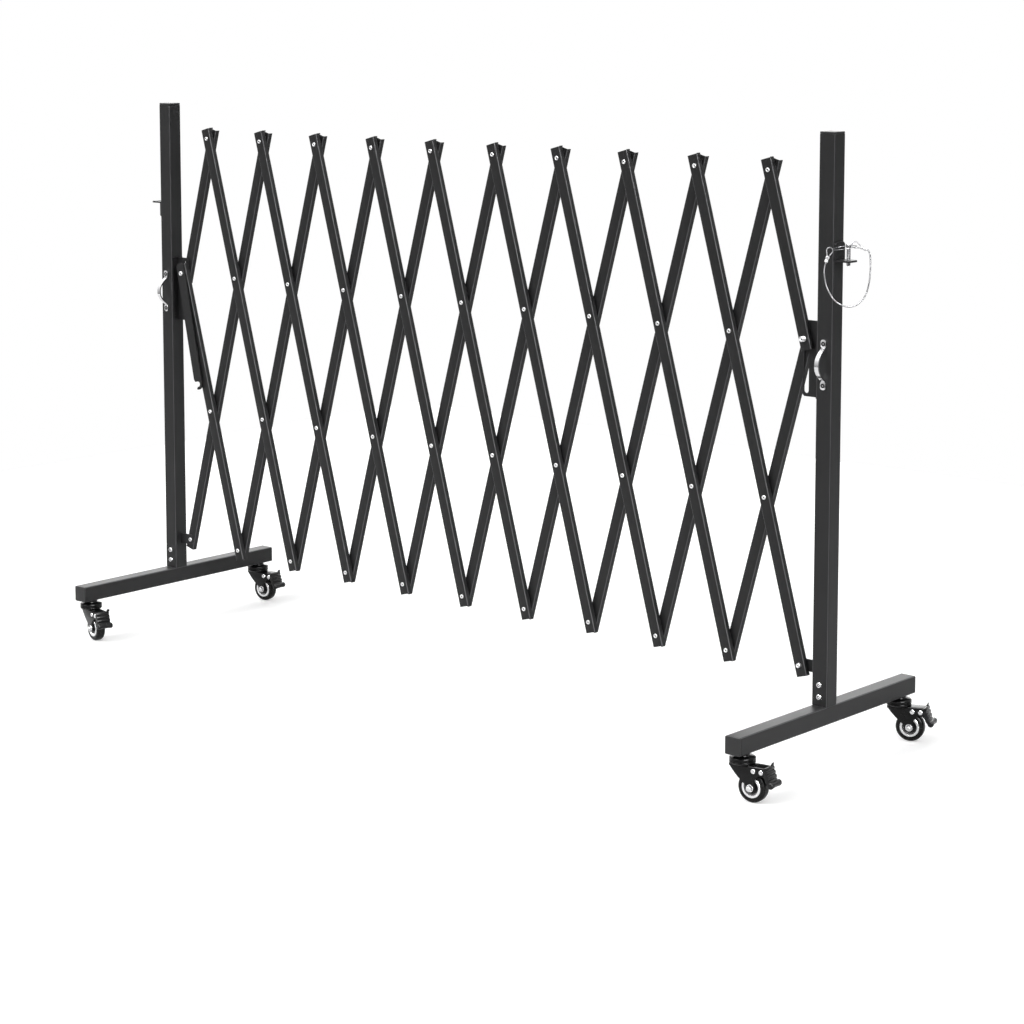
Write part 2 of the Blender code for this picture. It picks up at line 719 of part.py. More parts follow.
def foot():
    """Return a foot: a tube along Y with the post's spigot, its bolts and the holes of the stems."""
    half = FOOT_LENGTH / 2 - FOOT_LIP
    tube = tube_shell(-half, half, TO_FRONT)
    tube.transform(Matrix.Translation((0, 0, FLOOR_TO_FOOT + HALF_TUBE)))
    spigot_half = INNER_TUBE - GAP
    bottom = FOOT_TOP - TUBE_WALL / 2
    top = FOOT_TOP + SPIGOT_HEIGHT
    spigot = prism(rounded_square(spigot_half, INNER_ROUND), bottom, top)
    bore = prism(rounded_square(spigot_half - TUBE_WALL, INNER_ROUND), FOOT_TOP + WELD, top + OVERRUN)
    bolts = merged([moved(spigot_bolt(), z=FOOT_TOP + rise) for rise in SPIGOT_BOLT_RISES])
    holes = []
    for y in stem_places():
        hole = cylinder(hole_radius(STEM), -OVERRUN, TUBE_WALL + OVERRUN, PIN_SIDES)
        holes.append(moved(hole, y=y, z=FLOOR_TO_FOOT))
    spigot = solid(spigot, additions=[bolts], cuts=[bore])
    return solid(tube, additions=[spigot], cuts=[merged(holes)])


def stem_places():
    """Return the Y places of the caster stems, front and rear."""
    reach = FOOT_LENGTH / 2 - STEM_INSET
    return (-reach, reach)


def swivel_cap():
    """Return a caster's stem, the upper race and the king pin, from the foot's underside."""
    bottom = -GAP - RACE_CAP_HEIGHT
    king_seat = bottom - GAP - RACE_LOWER_HEIGHT - PLATE - GAP
    profile = [
        (0, STEM_RISE),
        (STEM, STEM_RISE),
        (STEM, -GAP),
        (RACE_NECK, -GAP),
        (RACE, -GAP - RACE_SLOPE),
        (RACE, bottom),
        (KING_PIN, bottom),
        (KING_PIN, king_seat),
        (KING_HEAD, king_seat),
        (KING_HEAD, king_seat - KING_HEAD_HEIGHT),
        (0, king_seat - KING_HEAD_HEIGHT),
    ]
    return turned(profile, RACE_SIDES)


def fork_plate_outline():
    """Return the outline of a fork's side plate, as X from the swivel's axis and Z from the foot."""
    crown = -2 * GAP - RACE_CAP_HEIGHT - RACE_LOWER_HEIGHT
    axle = AXLE_RISE - FLOOR_TO_FOOT
    lobe = (TRAIL + FORK_RIVET_PLACES[1], axle + FORK_RIVET_RISE)
    waist = axle + FORK_WAIST_RISE
    outline = [(TRAIL + FORK_TOP_REACH, crown), (-FORK_BACK, crown)]
    outline += [(TRAIL - FORK_WAIST_BACK, waist)]
    outline += arc((TRAIL, axle), FORK_BOSS, math.radians(160), math.radians(380), PIN_SIDES - 2)
    outline += [(TRAIL + FORK_WAIST_FRONT, waist)]
    outline += arc(lobe, FORK_LOBE, math.radians(-120), math.radians(30), PIN_SIDES // 2)
    return outline


def fork():
    """Return a fork: lower race, crown and two side plates, with the axle, its nuts and the rivets."""
    race_top = -2 * GAP - RACE_CAP_HEIGHT
    crown = race_top - RACE_LOWER_HEIGHT
    race_profile = [(0, race_top), (RACE, race_top), (RACE, crown + RACE_EDGE)]
    race_profile += [(RACE - RACE_EDGE, crown - WELD), (0, crown - WELD)]
    race = turned(race_profile, RACE_SIDES)
    crown_outline = [(-FORK_BACK, -PLATE_OUTER), (TRAIL + FORK_TOP_REACH, -PLATE_OUTER)]
    crown_outline += [(TRAIL + FORK_TOP_REACH, PLATE_OUTER), (-FORK_BACK, PLATE_OUTER)]
    crown_plate = prism(crown_outline, crown - PLATE, crown)
    near = prism(fork_plate_outline(), PLATE_INNER, PLATE_OUTER, TO_FRONT)
    far = prism(fork_plate_outline(), -PLATE_OUTER, -PLATE_INNER, TO_FRONT)
    bore = cylinder(hole_radius(KING_PIN), crown - PLATE - OVERRUN, race_top + OVERRUN, PIN_SIDES)
    pins = [moved(axle(), x=TRAIL, z=AXLE_RISE - FLOOR_TO_FOOT)]
    for place_x in FORK_RIVET_PLACES:
        pins.append(moved(fork_rivet(), x=TRAIL + place_x, z=AXLE_RISE - FLOOR_TO_FOOT + FORK_RIVET_RISE))
    return solid(crown_plate, additions=[race, merged([near, far]), merged(pins)], cuts=[bore])


def axle():
    """Return the axle along -Y with a nut outside each plate."""
    nut_end = PLATE_OUTER + AXLE_NUT_HEIGHT
    profile = [(0, -nut_end - AXLE_END), (AXLE, -nut_end - AXLE_END), (AXLE, -nut_end)]
    profile += [(AXLE_NUT, -nut_end), (AXLE_NUT, -PLATE_OUTER + WELD), (AXLE, -PLATE_OUTER + WELD)]
    profile += [(radius, -place) for radius, place in profile[::-1]]
    return turned(profile, 6, TO_FRONT)


def fork_rivet():
    """Return a rivet along -Y right across the fork, with a head outside each plate."""
    head_end = PLATE_OUTER + FORK_RIVET_HEIGHT
    profile = [(0, -head_end), (FORK_RIVET, -head_end), (FORK_RIVET, -PLATE_OUTER + WELD)]
    profile += [(RIVET_SHANK, -PLATE_OUTER + WELD)]
    profile += [(radius, -place) for radius, place in profile[::-1]]
    return turned(profile, PIN_SIDES, TO_FRONT)


def wheel():
    """Return a wheel about -Y: hub, web behind a raised ring, and a rounded tyre with a flat side down."""
    half = WHEEL_WIDTH / 2
    hub = WHEEL_HUB_WIDTH / 2
    bore = hole_radius(AXLE)
    side = [
        (bore, hub),
        (WHEEL_HUB, hub),
        (WHEEL_RING_INNER, half - 2 * WHEEL_RECESS),
        (WHEEL_RING_INNER, half - WHEEL_RECESS / 2),
        (WHEEL_RING, half - WHEEL_RECESS / 2),
    ]
    crown = arc((TYRE - TYRE_ROUND, half - TYRE_ROUND), TYRE_ROUND, math.pi / 2, 0, TYRE_STEPS)
    half_profile = side + crown
    profile = half_profile + [(radius, -place) for radius, place in half_profile[::-1]]
    shape = bmesh.new()
    points = [shape.verts.new((radius, 0, place)) for radius, place in profile]
    edges = [shape.edges.new((points[i - 1], points[i])) for i in range(len(points))]
    bmesh.ops.spin(shape, geom=points + edges, cent=(0, 0, 0), axis=(0, 0, 1), angle=2 * math.pi,
                   steps=WHEEL_SIDES, use_merge=True, use_duplicate=False)
    bmesh.ops.remove_doubles(shape, verts=shape.verts, dist=MERGE)
    return finished(shape, TO_FRONT @ Matrix.Rotation(math.pi / WHEEL_SIDES, 4, "Z"))


def pedal():
    """Return a brake pedal about its rivet: two cheeks, a sloping tread, its lip and an ear."""
    hinge = FORK_RIVET_PLACES[1]
    drop = FORK_RIVET_RISE
    top = PEDAL_TOP_RISE - drop
    start = PEDAL_START - hinge
    foot_x = start + PEDAL_SLOPE
    foot_z = top - PEDAL_DROP
    lip = (foot_x + PEDAL_LIP_OUT, foot_z - PEDAL_LIP_DROP)
    thick = PEDAL_THICKNESS
    tread_outline = [(start - thick, top), (start, top), (foot_x, foot_z), lip]
    tread_outline += [(lip[0] - thick, lip[1] - thick / 2), (foot_x - thick, foot_z - thick / 2)]
    half = PEDAL_WIDTH / 2
    tread = prism(tread_outline, -half, half, TO_FRONT)
    ear_back = start - thick + WELD
    ear_front = start - WELD
    ear_outline = [(ear_back, top - WELD), (ear_front, top - WELD)]
    ear_outline += [(ear_front, top + PEDAL_EAR), (ear_back, top + PEDAL_EAR)]
    ear = prism(ear_outline, -half + WELD, -half + PEDAL_EAR_WIDTH, TO_FRONT)
    cheek_outer = PLATE_INNER - GAP
    cheek_inner = cheek_outer - PEDAL_CHEEK
    cheek_outline = [(start - WELD, top - thick), (0, PEDAL_CHEEK_ROUND)]
    cheek_outline += arc((0, 0), PEDAL_CHEEK_ROUND, math.radians(120), math.radians(270), PIN_SIDES // 2)
    cheek_outline += [(foot_x - thick + WELD / 2, foot_z + thick)]
    cheeks = merged([prism(cheek_outline, cheek_inner, cheek_outer, TO_FRONT),
                     prism(cheek_outline, -cheek_outer, -cheek_inner, TO_FRONT)])
    bore = cylinder(hole_radius(RIVET_SHANK), -half, half, PIN_SIDES, TO_FRONT)
    return solid(tread, additions=[ear, cheeks], cuts=[bore])


def hook_arm():
    """Return the hook arm about its pivot, hanging down, with its notch open towards -X."""
    half = HOOK_WIDTH / 2
    corner = half / 2
    notch = (half - HOOK_ROUND, -HOOK_LENGTH)
    outline = [(half, HOOK_TOP - corner), (corner, HOOK_TOP), (-corner, HOOK_TOP)]
    outline += [(-half, HOOK_TOP - corner), (-half, -HOOK_LENGTH + HOOK_NOTCH + corner)]
    outline.append((-corner - HOOK_NOTCH / 2, -HOOK_LENGTH + HOOK_NOTCH))
    outline += arc(notch, HOOK_NOTCH, math.radians(90), math.radians(-110), PIN_SIDES)
    outline += arc(notch, HOOK_ROUND, math.radians(-120), math.radians(0), PIN_SIDES)
    blade = prism(outline, COLLAR_TOP + GAP, COLLAR_TOP + GAP + HOOK_THICKNESS, TO_FRONT)
    bore_end = COLLAR_TOP + HOOK_THICKNESS + OVERRUN
    bore = cylinder(hole_radius(SLIDER_NECK), COLLAR_TOP, bore_end, PIN_SIDES, TO_FRONT)
    return solid(blade, cuts=[bore])


def ring_centre():
    """Return the ring's centre as X, Y and Z from the lock pin's axis at the top of its plate."""
    head = LOCK_PIN_ABOVE + LOCK_HEAD_HEIGHT / 2
    drop = RING_RADIUS * math.sin(LANYARD_TURN - RING_SWING) * math.tan(RING_TILT)
    return Vector((RING_RADIUS * math.sin(RING_SWING), -RING_RADIUS * math.cos(RING_SWING), head - drop))


def ring_place():
    """Return how the ring lies: tilted in the lanyard's plane, which is turned about the vertical."""
    turn = Matrix.Rotation(LANYARD_TURN, 4, "Z") @ Matrix.Rotation(-RING_TILT, 4, "Y")
    return Matrix.Translation(ring_centre()) @ turn


def lock_pin():
    """Return the lock pin about its axis, from the top of its plate, with the ring's hole in its head."""
    top = LOCK_PIN_ABOVE + LOCK_HEAD_HEIGHT
    bottom = -LINK_THICKNESS - LOCK_PIN_BELOW
    profile = [
        (0, top),
        (LOCK_HEAD - LOCK_TIP, top),
        (LOCK_HEAD, top - LOCK_TIP),
        (LOCK_HEAD, LOCK_PIN_ABOVE),
        (LOCK_PIN, LOCK_PIN_ABOVE),
        (LOCK_PIN, bottom + LOCK_TIP),
        (LOCK_PIN - LOCK_TIP, bottom),
        (0, bottom),
    ]
    hole = ring(RING_RADIUS, RING_WIRE + RING_PLAY, RING_SIDES, PIN_SIDES, ring_place())
    return solid(turned(profile, PIN_SIDES + PIN_SIDES // 2), cuts=[hole])


def smooth_route(points, steps):
    """Return a smooth curve's points through a route's own points, its first and last run straight."""
    route = points[:1]
    for before, start, end, after in zip(points, points[1:], points[2:], points[3:]):
        for step in range(steps):
            t = step / steps
            bend = 2 * start + (end - before) * t + (2 * before - 5 * start + 4 * end - after) * t ** 2
            bend += (3 * start - before - 3 * end + after) * t ** 3
            route.append(bend / 2)
    return route + points[-2:]


def round_curve(name, points, radius):
    """Return a round wire through points of X and Z, as a curve with filled ends."""
    curve = bpy.data.curves.new(name, "CURVE")
    curve.dimensions = "3D"
    curve.bevel_depth = radius
    curve.bevel_resolution = 1
    curve.use_fill_caps = True
    spline = curve.splines.new("POLY")
    spline.points.add(len(points) - 1)
    for target, point in zip(spline.points, points):
        target.co = (point[0], 0, point[1], 1)
    return curve


def curve_mesh(curve):
    """Return the closed mesh of a curve."""
    item = bpy.data.objects.new("curve", curve)
    bpy.context.collection.objects.link(item)
    graph = bpy.context.evaluated_depsgraph_get()
    mesh = bpy.data.meshes.new_from_object(item.evaluated_get(graph))
    bpy.data.objects.remove(item)
    shape = bmesh.new()
    shape.from_mesh(mesh)
    bmesh.ops.remove_doubles(shape, verts=shape.verts, dist=MERGE)
    return finished(shape, UPRIGHT)


def lanyard_end():
    """Return one end of the lanyard about the centre of its eye: a wire loop into a pressed ferrule."""
    top = -EYE_LENGTH + FERRULE_LENGTH / 2
    loop = [(EYE_SPREAD, top - 2 * WELD)]
    loop += arc((0, 0), EYE_RADIUS, math.radians(-35), math.radians(215), EYE_STEPS)
    loop += [(-EYE_SPREAD, top - 2 * WELD)]
    ferrule = cylinder(FERRULE, -EYE_LENGTH - FERRULE_LENGTH / 2, top, PIN_SIDES)
    return solid(ferrule, additions=[curve_mesh(round_curve("eye", loop, EYE_WIRE))])


def cable_end(eye, turn):
    """Return where the cable meets a ferrule and where its straight lead ends, in the lanyard's plane."""
    away = Vector((-math.sin(turn), -math.cos(turn)))
    face = EYE_LENGTH + FERRULE_LENGTH / 2 + GAP
    return [Vector(eye) + reach * away for reach in (face, face + 2 * CABLE)]


def add_lanyard(pin_axis):
    """Add the split ring, the two lanyard ends and the cable between them."""
    hanger = axis_empty("lanyard_hanger", ring_centre(), LANYARD_TURN, "Z", pin_axis)
    ring_mesh = ring(RING_RADIUS, RING_WIRE, RING_SIDES, WIRE_SIDES)
    split_ring = place("split_ring", ring_mesh, BRIGHT_STEEL, hanger)
    split_ring.rotation_euler.y = -RING_TILT
    ends = lanyard_end()
    for name, eye, turn in (("lanyard_end_front", FRONT_EYE, FRONT_EYE_TURN),
                            ("lanyard_end_pin", PIN_EYE, PIN_EYE_TURN)):
        end = place(name, ends, BRIGHT_STEEL, hanger, (eye[0], 0, eye[1]))
        end.rotation_euler.y = turn
    route = cable_end(FRONT_EYE, FRONT_EYE_TURN) + [Vector(point) for point in CABLE_ROUTE]
    route += cable_end(PIN_EYE, PIN_EYE_TURN)[::-1]
    curve = round_curve("lanyard_cable", smooth_route(route, CABLE_STEPS), CABLE)
    curve.materials.append(material("lanyard_cable", BRIGHT_STEEL))
    cable = bpy.data.objects.new("lanyard_cable", curve)
    bpy.context.collection.objects.link(cable)
    cable.parent = hanger


def add_post_group(name, side):
    """Add a post with its foot, caps, bracket, handle and link bracket; side is 1 for the left one."""
    centre = axis_empty(name + "_post_axis", (LEFT_POST if side > 0 else RIGHT_POST, 0, 0))
    place(name + "_post", post(side), BLACK_STEEL, centre)
    post_cap = tube_plug(POST_LIP, CAP_PLUG)
    place(name + "_post_cap", post_cap, BLACK_PLASTIC, centre, (0, 0, POST_TOP - POST_LIP))
    place(name + "_foot", foot(), BLACK_STEEL, centre)
    cap = tube_plug(FOOT_LIP, CAP_PLUG, TO_FRONT)
    foot_end = FOOT_LENGTH / 2 - FOOT_LIP
    middle = FLOOR_TO_FOOT + HALF_TUBE
    place(name + "_foot_cap_front", cap, BLACK_PLASTIC, centre, (0, -foot_end, middle))
    rear = place(name + "_foot_cap_rear", cap, BLACK_PLASTIC, centre, (0, foot_end, middle))
    rear.rotation_euler.z = math.pi
    bracket = place(name + "_slot_bracket", slot_bracket(), BLACK_STEEL, centre)
    place(name + "_handle", handle(), BRIGHT_STEEL, centre)
    if side > 0:
        place(name + "_link_bracket", left_link_bracket(), BLACK_STEEL, centre)
    else:
        bracket.rotation_euler.z = math.pi
        place(name + "_link_bracket", link_bracket(), BLACK_STEEL, centre)


def add_casters():
    """Add the four casters, each turned about its stem, with wheel and pedal on their own axes."""
    cap, fork_mesh, wheel_mesh, pedal_mesh = swivel_cap(), fork(), wheel(), pedal()
    for corner, turn in CASTER_TURNS.items():
        x = LEFT_POST if corner.endswith("left") else RIGHT_POST
        y = stem_places()[0] if corner.startswith("front") else stem_places()[1]
        place("caster_cap_" + corner, cap, BLACK_STEEL, None, (x, y, FLOOR_TO_FOOT))
        swivel = axis_empty("swivel_" + corner, (x, y, FLOOR_TO_FOOT), math.radians(turn), "Z")
        place("caster_fork_" + corner, fork_mesh, BLACK_STEEL, swivel)
        hub = axis_empty("axle_" + corner, (TRAIL, 0, AXLE_RISE - FLOOR_TO_FOOT), parent=swivel)
        place("caster_wheel_" + corner, wheel_mesh, BLACK_RUBBER, hub)
        hinge_x = TRAIL + FORK_RIVET_PLACES[1]
        hinge_z = AXLE_RISE - FLOOR_TO_FOOT + FORK_RIVET_RISE
        hinge = axis_empty("pedal_hinge_" + corner, (hinge_x, 0, hinge_z), parent=swivel)
        place("caster_pedal_" + corner, pedal_mesh, BLACK_PLASTIC, hinge)


def build():
    """Model the whole barrier."""
    for item in list(bpy.data.objects):
        bpy.data.objects.remove(item)
    add_lattice()
    add_post_group("left", 1)
    add_post_group("right", -1)
    add_casters()
    slider = axis_empty("hook_pivot", pivot_place(0, 2), -HOOK_ANGLE)
    place("hook_arm", hook_arm(), BLACK_STEEL, slider)
    pin_x = RIGHT_POST + HALF_TUBE + LINK_HOLE_OFFSET
    pin_axis = axis_empty("lock_pin_axis", (pin_x, 0, FOOT_TOP + RIGHT_LINK_RISE))
    place("lock_pin", lock_pin(), BRIGHT_STEEL, pin_axis)
    add_lanyard(pin_axis)


build()
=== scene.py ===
"""Expandable safety barrier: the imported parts, dressed with their finishes and fine pieces."""

import math

import bmesh
import bpy
from mathutils import Matrix, Vector


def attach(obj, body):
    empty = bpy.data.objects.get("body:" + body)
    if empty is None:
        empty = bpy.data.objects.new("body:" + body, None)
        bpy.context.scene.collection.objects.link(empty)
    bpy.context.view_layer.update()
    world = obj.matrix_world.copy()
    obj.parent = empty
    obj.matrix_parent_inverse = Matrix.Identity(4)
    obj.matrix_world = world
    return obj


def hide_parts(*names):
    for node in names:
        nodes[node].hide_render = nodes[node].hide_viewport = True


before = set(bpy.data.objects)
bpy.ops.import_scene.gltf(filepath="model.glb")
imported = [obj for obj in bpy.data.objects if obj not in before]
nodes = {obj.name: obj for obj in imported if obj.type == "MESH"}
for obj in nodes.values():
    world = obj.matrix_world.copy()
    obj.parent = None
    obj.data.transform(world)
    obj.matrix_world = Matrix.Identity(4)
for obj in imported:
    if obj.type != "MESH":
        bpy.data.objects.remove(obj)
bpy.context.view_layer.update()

scene = bpy.context.scene


# Camera: as high as a person's eyes, ahead of the right post and turned to the left. It is tilted down a
# little and shifted for the rest, so that the posts stay nearly parallel, and other views at rest hold the
# whole barrier.
CAMERA_PLACE = (4.020, -4.442, 1.614)
CAMERA_TILT = math.radians(83.090)
CAMERA_TURN = math.radians(41.204)
CAMERA_LENS = 92.64
CAMERA_SHIFT = -0.200
CAMERA_REACH = 200

camera = bpy.data.objects.new("camera", bpy.data.cameras.new("camera"))
scene.collection.objects.link(camera)
camera.location = CAMERA_PLACE
camera.rotation_euler = (CAMERA_TILT, 0, CAMERA_TURN)
camera.data.lens = CAMERA_LENS
camera.data.shift_y = CAMERA_SHIFT
camera.data.clip_end = CAMERA_REACH
scene.camera = camera
scene.view_settings.view_transform = "Standard"


# Every finish is made from nodes. A Wire wraps a socket, so that sums on it add Math nodes, and a Finish
# wraps a material and adds any other node in one call.
class Wire:
    """A socket with a single number, which takes part in sums."""

    def __init__(self, finish, socket):
        self.finish = finish
        self.socket = socket

    def sum(self, operation, *terms):
        node = self.finish.tree.nodes.new("ShaderNodeMath")
        node.operation = operation
        for target, term in zip(node.inputs, terms):
            self.finish.join(term, target)
        return Wire(self.finish, node.outputs[0])

    def __add__(self, other):
        return self.sum("ADD", self, other)

    def __sub__(self, other):
        return self.sum("SUBTRACT", self, other)

    def __rsub__(self, other):
        return self.sum("SUBTRACT", other, self)

    def __mul__(self, other):
        return self.sum("MULTIPLY", self, other)

    __radd__ = __add__
    __rmul__ = __mul__


class Finish:
    """A material, or the surround, whose shader is filled in with wires, colours and numbers."""

    def __init__(self, name, world=None):
        self.material = world or bpy.data.materials.new(name)
        self.material.use_nodes = True
        self.tree = self.material.node_tree
        self.shader = self.tree.nodes["Background" if world else "Principled BSDF"]

    def join(self, value, socket):
        """Link a wire or a socket, or set a plain value."""
        if isinstance(value, Wire):
            value = value.socket
        if isinstance(value, bpy.types.NodeSocket):
            self.tree.links.new(value, socket)
        else:
            socket.default_value = value

    def node(self, kind, settings=None, **inputs):
        """Add a node, set it up, and fill in its inputs, whose names take _ for a space."""
        node = self.tree.nodes.new("ShaderNode" + kind)
        for key, value in (settings or {}).items():
            setattr(node, key, value)
        for key, value in inputs.items():
            self.join(value, node.inputs[key.replace("_", " ")])
        return node

    def place(self, scale=(1, 1, 1), source="Object"):
        """Return the piece's own coordinates, scaled."""
        where = self.node("TexCoord").outputs[source]
        return self.node("Mapping", Vector=where, Scale=scale).outputs["Vector"]

    def noise(self, where, scale, detail=2.0, roughness=0.5):
        """Return a noise from 0 to 1 over the coordinates."""
        made = self.node("TexNoise", Vector=where, Scale=scale, Detail=detail, Roughness=roughness)
        return Wire(self, made.outputs["Fac"])

    def ramp(self, value, low, high):
        """Return 0 below low and 1 above high, with a smooth step between."""
        made = self.node("MapRange", {"interpolation_type": "SMOOTHSTEP", "clamp": True}, Value=value,
                         From_Min=low, From_Max=high)
        return Wire(self, made.outputs["Result"])

    def mix(self, factor, one, other):
        """Return a colour between two."""
        made = self.node("Mix", {"data_type": "RGBA"})
        self.join(factor, made.inputs[0])
        self.join(one, made.inputs[6])
        self.join(other, made.inputs[7])
        return made.outputs[2]

    def bump(self, height, strength, distance):
        """Return a normal from a height from 0 to 1, which stands for a distance in metres."""
        made = self.node("Bump", Height=height, Strength=strength, Distance=distance)
        return made.outputs["Normal"]

    def shade(self, **inputs):
        """Fill in the shader and return the material."""
        for key, value in inputs.items():
            self.join(value, self.shader.inputs[key.replace("_", " ")])
        return self.material


# A plain pale floor lies in a white surround. The key light comes from the front and left, a weaker one from
# the right, both soft, so that the black steel's fronts stay paler than its sides.
WHITE = (1, 1, 1, 1)
FLOOR_SIZE = 6
FLOOR_COLOUR = (0.86, 0.86, 0.86, 1)
FLOOR_GLOW = 0.30
FLOOR_GRAIN = 0.01
SUNS = {
    "key_light": (1.7, (50, 0, -25), 24),
    "fill_light": (0.7, (58, 0, 58), 40),
}
AROUND = 0.70
GLOSS_LEVEL = 0.45
GLOSS_LEAN = (-0.50, 0.20, 1.20)
GLOSS_LEAST = 0.06
SOFT_BOXES = {
    (-0.160, -0.220, 0.962): 14.0,
    (0.800, -0.300, 0.520): 24.0,
    (-0.640, 0.720, 0.270): 2.0,
}
BOX_EDGES = (0.93, 0.96)


def make_floor():
    """A floor whose glow is for the camera alone, so that it lights nothing."""
    shape = bmesh.new()
    bmesh.ops.create_grid(shape, x_segments=1, y_segments=1, size=FLOOR_SIZE / 2)
    mesh = bpy.data.meshes.new("floor")
    shape.to_mesh(mesh)
    shape.free()
    floor = bpy.data.objects.new("floor", mesh)
    scene.collection.objects.link(floor)
    finish = Finish("pale_floor")
    grain = finish.noise(finish.place(), scale=40.0)
    colour = finish.mix(grain, FLOOR_COLOUR, [part - FLOOR_GRAIN for part in FLOOR_COLOUR[:3]] + [1])
    seen = finish.node("LightPath").outputs["Is Camera Ray"]
    glow = Wire(finish, seen) * FLOOR_GLOW
    matt = finish.shade(Base_Color=colour, Roughness=0.9, Emission_Color=WHITE, Emission_Strength=glow)
    mesh.materials.append(matt)


def add_suns():
    """The two soft lights, as suns of some width."""
    for name, (strength, turn, spread) in SUNS.items():
        light = bpy.data.lights.new(name, "SUN")
        light.energy = strength
        light.angle = math.radians(spread)
        lamp = bpy.data.objects.new(name, light)
        lamp.rotation_euler = [math.radians(angle) for angle in turn]
        scene.collection.objects.link(lamp)


def make_surround():
    """White to the camera, and even to what it lights. Reflections show it paler above, with soft boxes."""
    world = bpy.data.worlds.new("surround")
    scene.world = world
    sky = Finish("surround", world)

    def facing(direction):
        """How nearly a ray runs in a direction, up to 1."""
        share = sky.node("VectorMath", {"operation": "DOT_PRODUCT"})
        sky.join(sky.node("TexCoord").outputs["Generated"], share.inputs[0])
        sky.join(direction, share.inputs[1])
        return Wire(sky, share.outputs["Value"])

    gloss = facing(GLOSS_LEAN) + GLOSS_LEVEL
    gloss = gloss.sum("MAXIMUM", gloss, GLOSS_LEAST)
    for direction, level in SOFT_BOXES.items():
        gloss += sky.ramp(facing(direction), *BOX_EDGES) * level
    ray = sky.node("LightPath").outputs
    level = Wire(sky, ray["Is Glossy Ray"]) * (gloss - AROUND) + AROUND
    seen = Wire(sky, ray["Is Camera Ray"])
    sky.shade(Color=WHITE, Strength=seen * (1 - level) + level)


make_floor()
add_suns()
make_surround()


# Lanyard: a thin steel wire rope from an eye that hangs at the front of the split ring, down in a round
# loop, and back up to the second eye on the ring. The strands are twisted in the finish.
RIGHT_POST = 0.993
POST_HALF = 0.019
LINK_TOP = 1.0666
LINK_HOLE = POST_HALF + 0.0243
LOCK_HEAD_MIDDLE = 0.0295
RING_RADIUS = 0.026
RING_SWING = math.radians(14)
RING_TILT = math.radians(8.8)
LANYARD_TURN = math.radians(40.6)
CABLE = 0.0015
FERRULE_REACH = 0.02475
EYE_PLAY = 0.0003
FRONT_EYE = (-0.0293, -0.0060)
FRONT_EYE_TURN = math.radians(17)
PIN_EYE = (0.0221, 0.0060)
PIN_EYE_TURN = math.radians(-67)
CABLE_ROUTE = (
    (-0.0393, -0.0420),
    (-0.0392, -0.0560),
    (-0.0345, -0.0790),
    (-0.0210, -0.1035),
    (-0.0040, -0.1165),
    (0.0135, -0.1200),
    (0.0290, -0.1145),
    (0.0430, -0.0985),
    (0.0502, -0.0760),
    (0.0530, -0.0520),
    (0.0532, -0.0300),
    (0.0520, -0.0140),
)
ROUTE_STEPS = 4
ROPE_BRIGHT = (0.36, 0.36, 0.37, 1)
ROPE_DARK = (0.16, 0.16, 0.165, 1)


def ring_centre():
    """The ring passes through the head of the lock pin and hangs low to the left."""
    drop = RING_RADIUS * math.sin(LANYARD_TURN - RING_SWING) * math.tan(RING_TILT)
    axis = Vector((RIGHT_POST + LINK_HOLE, 0, LINK_TOP + LOCK_HEAD_MIDDLE - drop))
    return axis + Vector((RING_RADIUS * math.sin(RING_SWING), -RING_RADIUS * math.cos(RING_SWING), 0))


HANGER = Matrix.Translation(ring_centre()) @ Matrix.Rotation(LANYARD_TURN, 4, "Z")


def lead(eye, turn):
    """Where the cable meets a ferrule and where its straight lead ends, in the lanyard's plane."""
    away = Vector((-math.sin(turn), -math.cos(turn)))
    face = FERRULE_REACH + EYE_PLAY
    return [Vector(eye) + reach * away for reach in (face, face + 2 * CABLE)]


def smooth_route(points, steps):
    """A smooth curve's points through the route's own, with its first and last run straight."""
    route = points[:1]
    for before, start, end, after in zip(points, points[1:], points[2:], points[3:]):
        for step in range(steps):
            t = step / steps
            bend = 2 * start + (end - before) * t + (2 * before - 5 * start + 4 * end - after) * t ** 2
            bend += (3 * start - before - 3 * end + after) * t ** 3
            route.append(bend / 2)
    return route + points[-2:]


def hung(points):
    """Points of the lanyard's plane, placed in the world."""
    return [HANGER @ Vector((across, 0, up)) for across, up in points]


def wire_curve(name, places, radius, sides=4):
    """A round wire through places in the world, on one open curve."""
    curve = bpy.data.curves.new(name, "CURVE")
    curve.dimensions = "3D"
    curve.bevel_depth = radius
    curve.bevel_resolution = sides
    curve.use_fill_caps = True
    spline = curve.splines.new("POLY")
    spline.points.add(len(places) - 1)
    for target, place in zip(spline.points, places):
        target.co = (*place, 1)
    spline.use_smooth = True
    item = bpy.data.objects.new(name, curve)
    scene.collection.objects.link(item)
    return item


def steel_rope():
    """Twisted strands of bright wire: slanting bands along the curve, worn a little grey."""
    finish = Finish("wire_rope")
    where = finish.place(source="UV")
    band = finish.node("TexWave", {"wave_type": "BANDS", "bands_direction": "DIAGONAL"}, Vector=where,
                       Scale=60.0, Distortion=0.0)
    strand = Wire(finish, band.outputs["Fac"])
    dull = finish.noise(finish.place(), scale=90.0)
    colour = finish.mix(dull * 0.5 + strand * 0.3, ROPE_BRIGHT, ROPE_DARK)
    return finish.shade(Base_Color=colour, Roughness=dull * 0.2 + 0.28, Metallic=0.85,
                        Normal=finish.bump(strand, strength=0.5, distance=CABLE / 5))


route = lead(FRONT_EYE, FRONT_EYE_TURN) + [Vector(point) for point in CABLE_ROUTE]
route += lead(PIN_EYE, PIN_EYE_TURN)[::-1]
cable_places = hung(smooth_route(route, ROUTE_STEPS))
cable = wire_curve("lanyard_rope", cable_places, CABLE)
rope_finish = steel_rope()
cable.data.materials.append(rope_finish)
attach(cable, "lock_pin")
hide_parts("lanyard_cable")


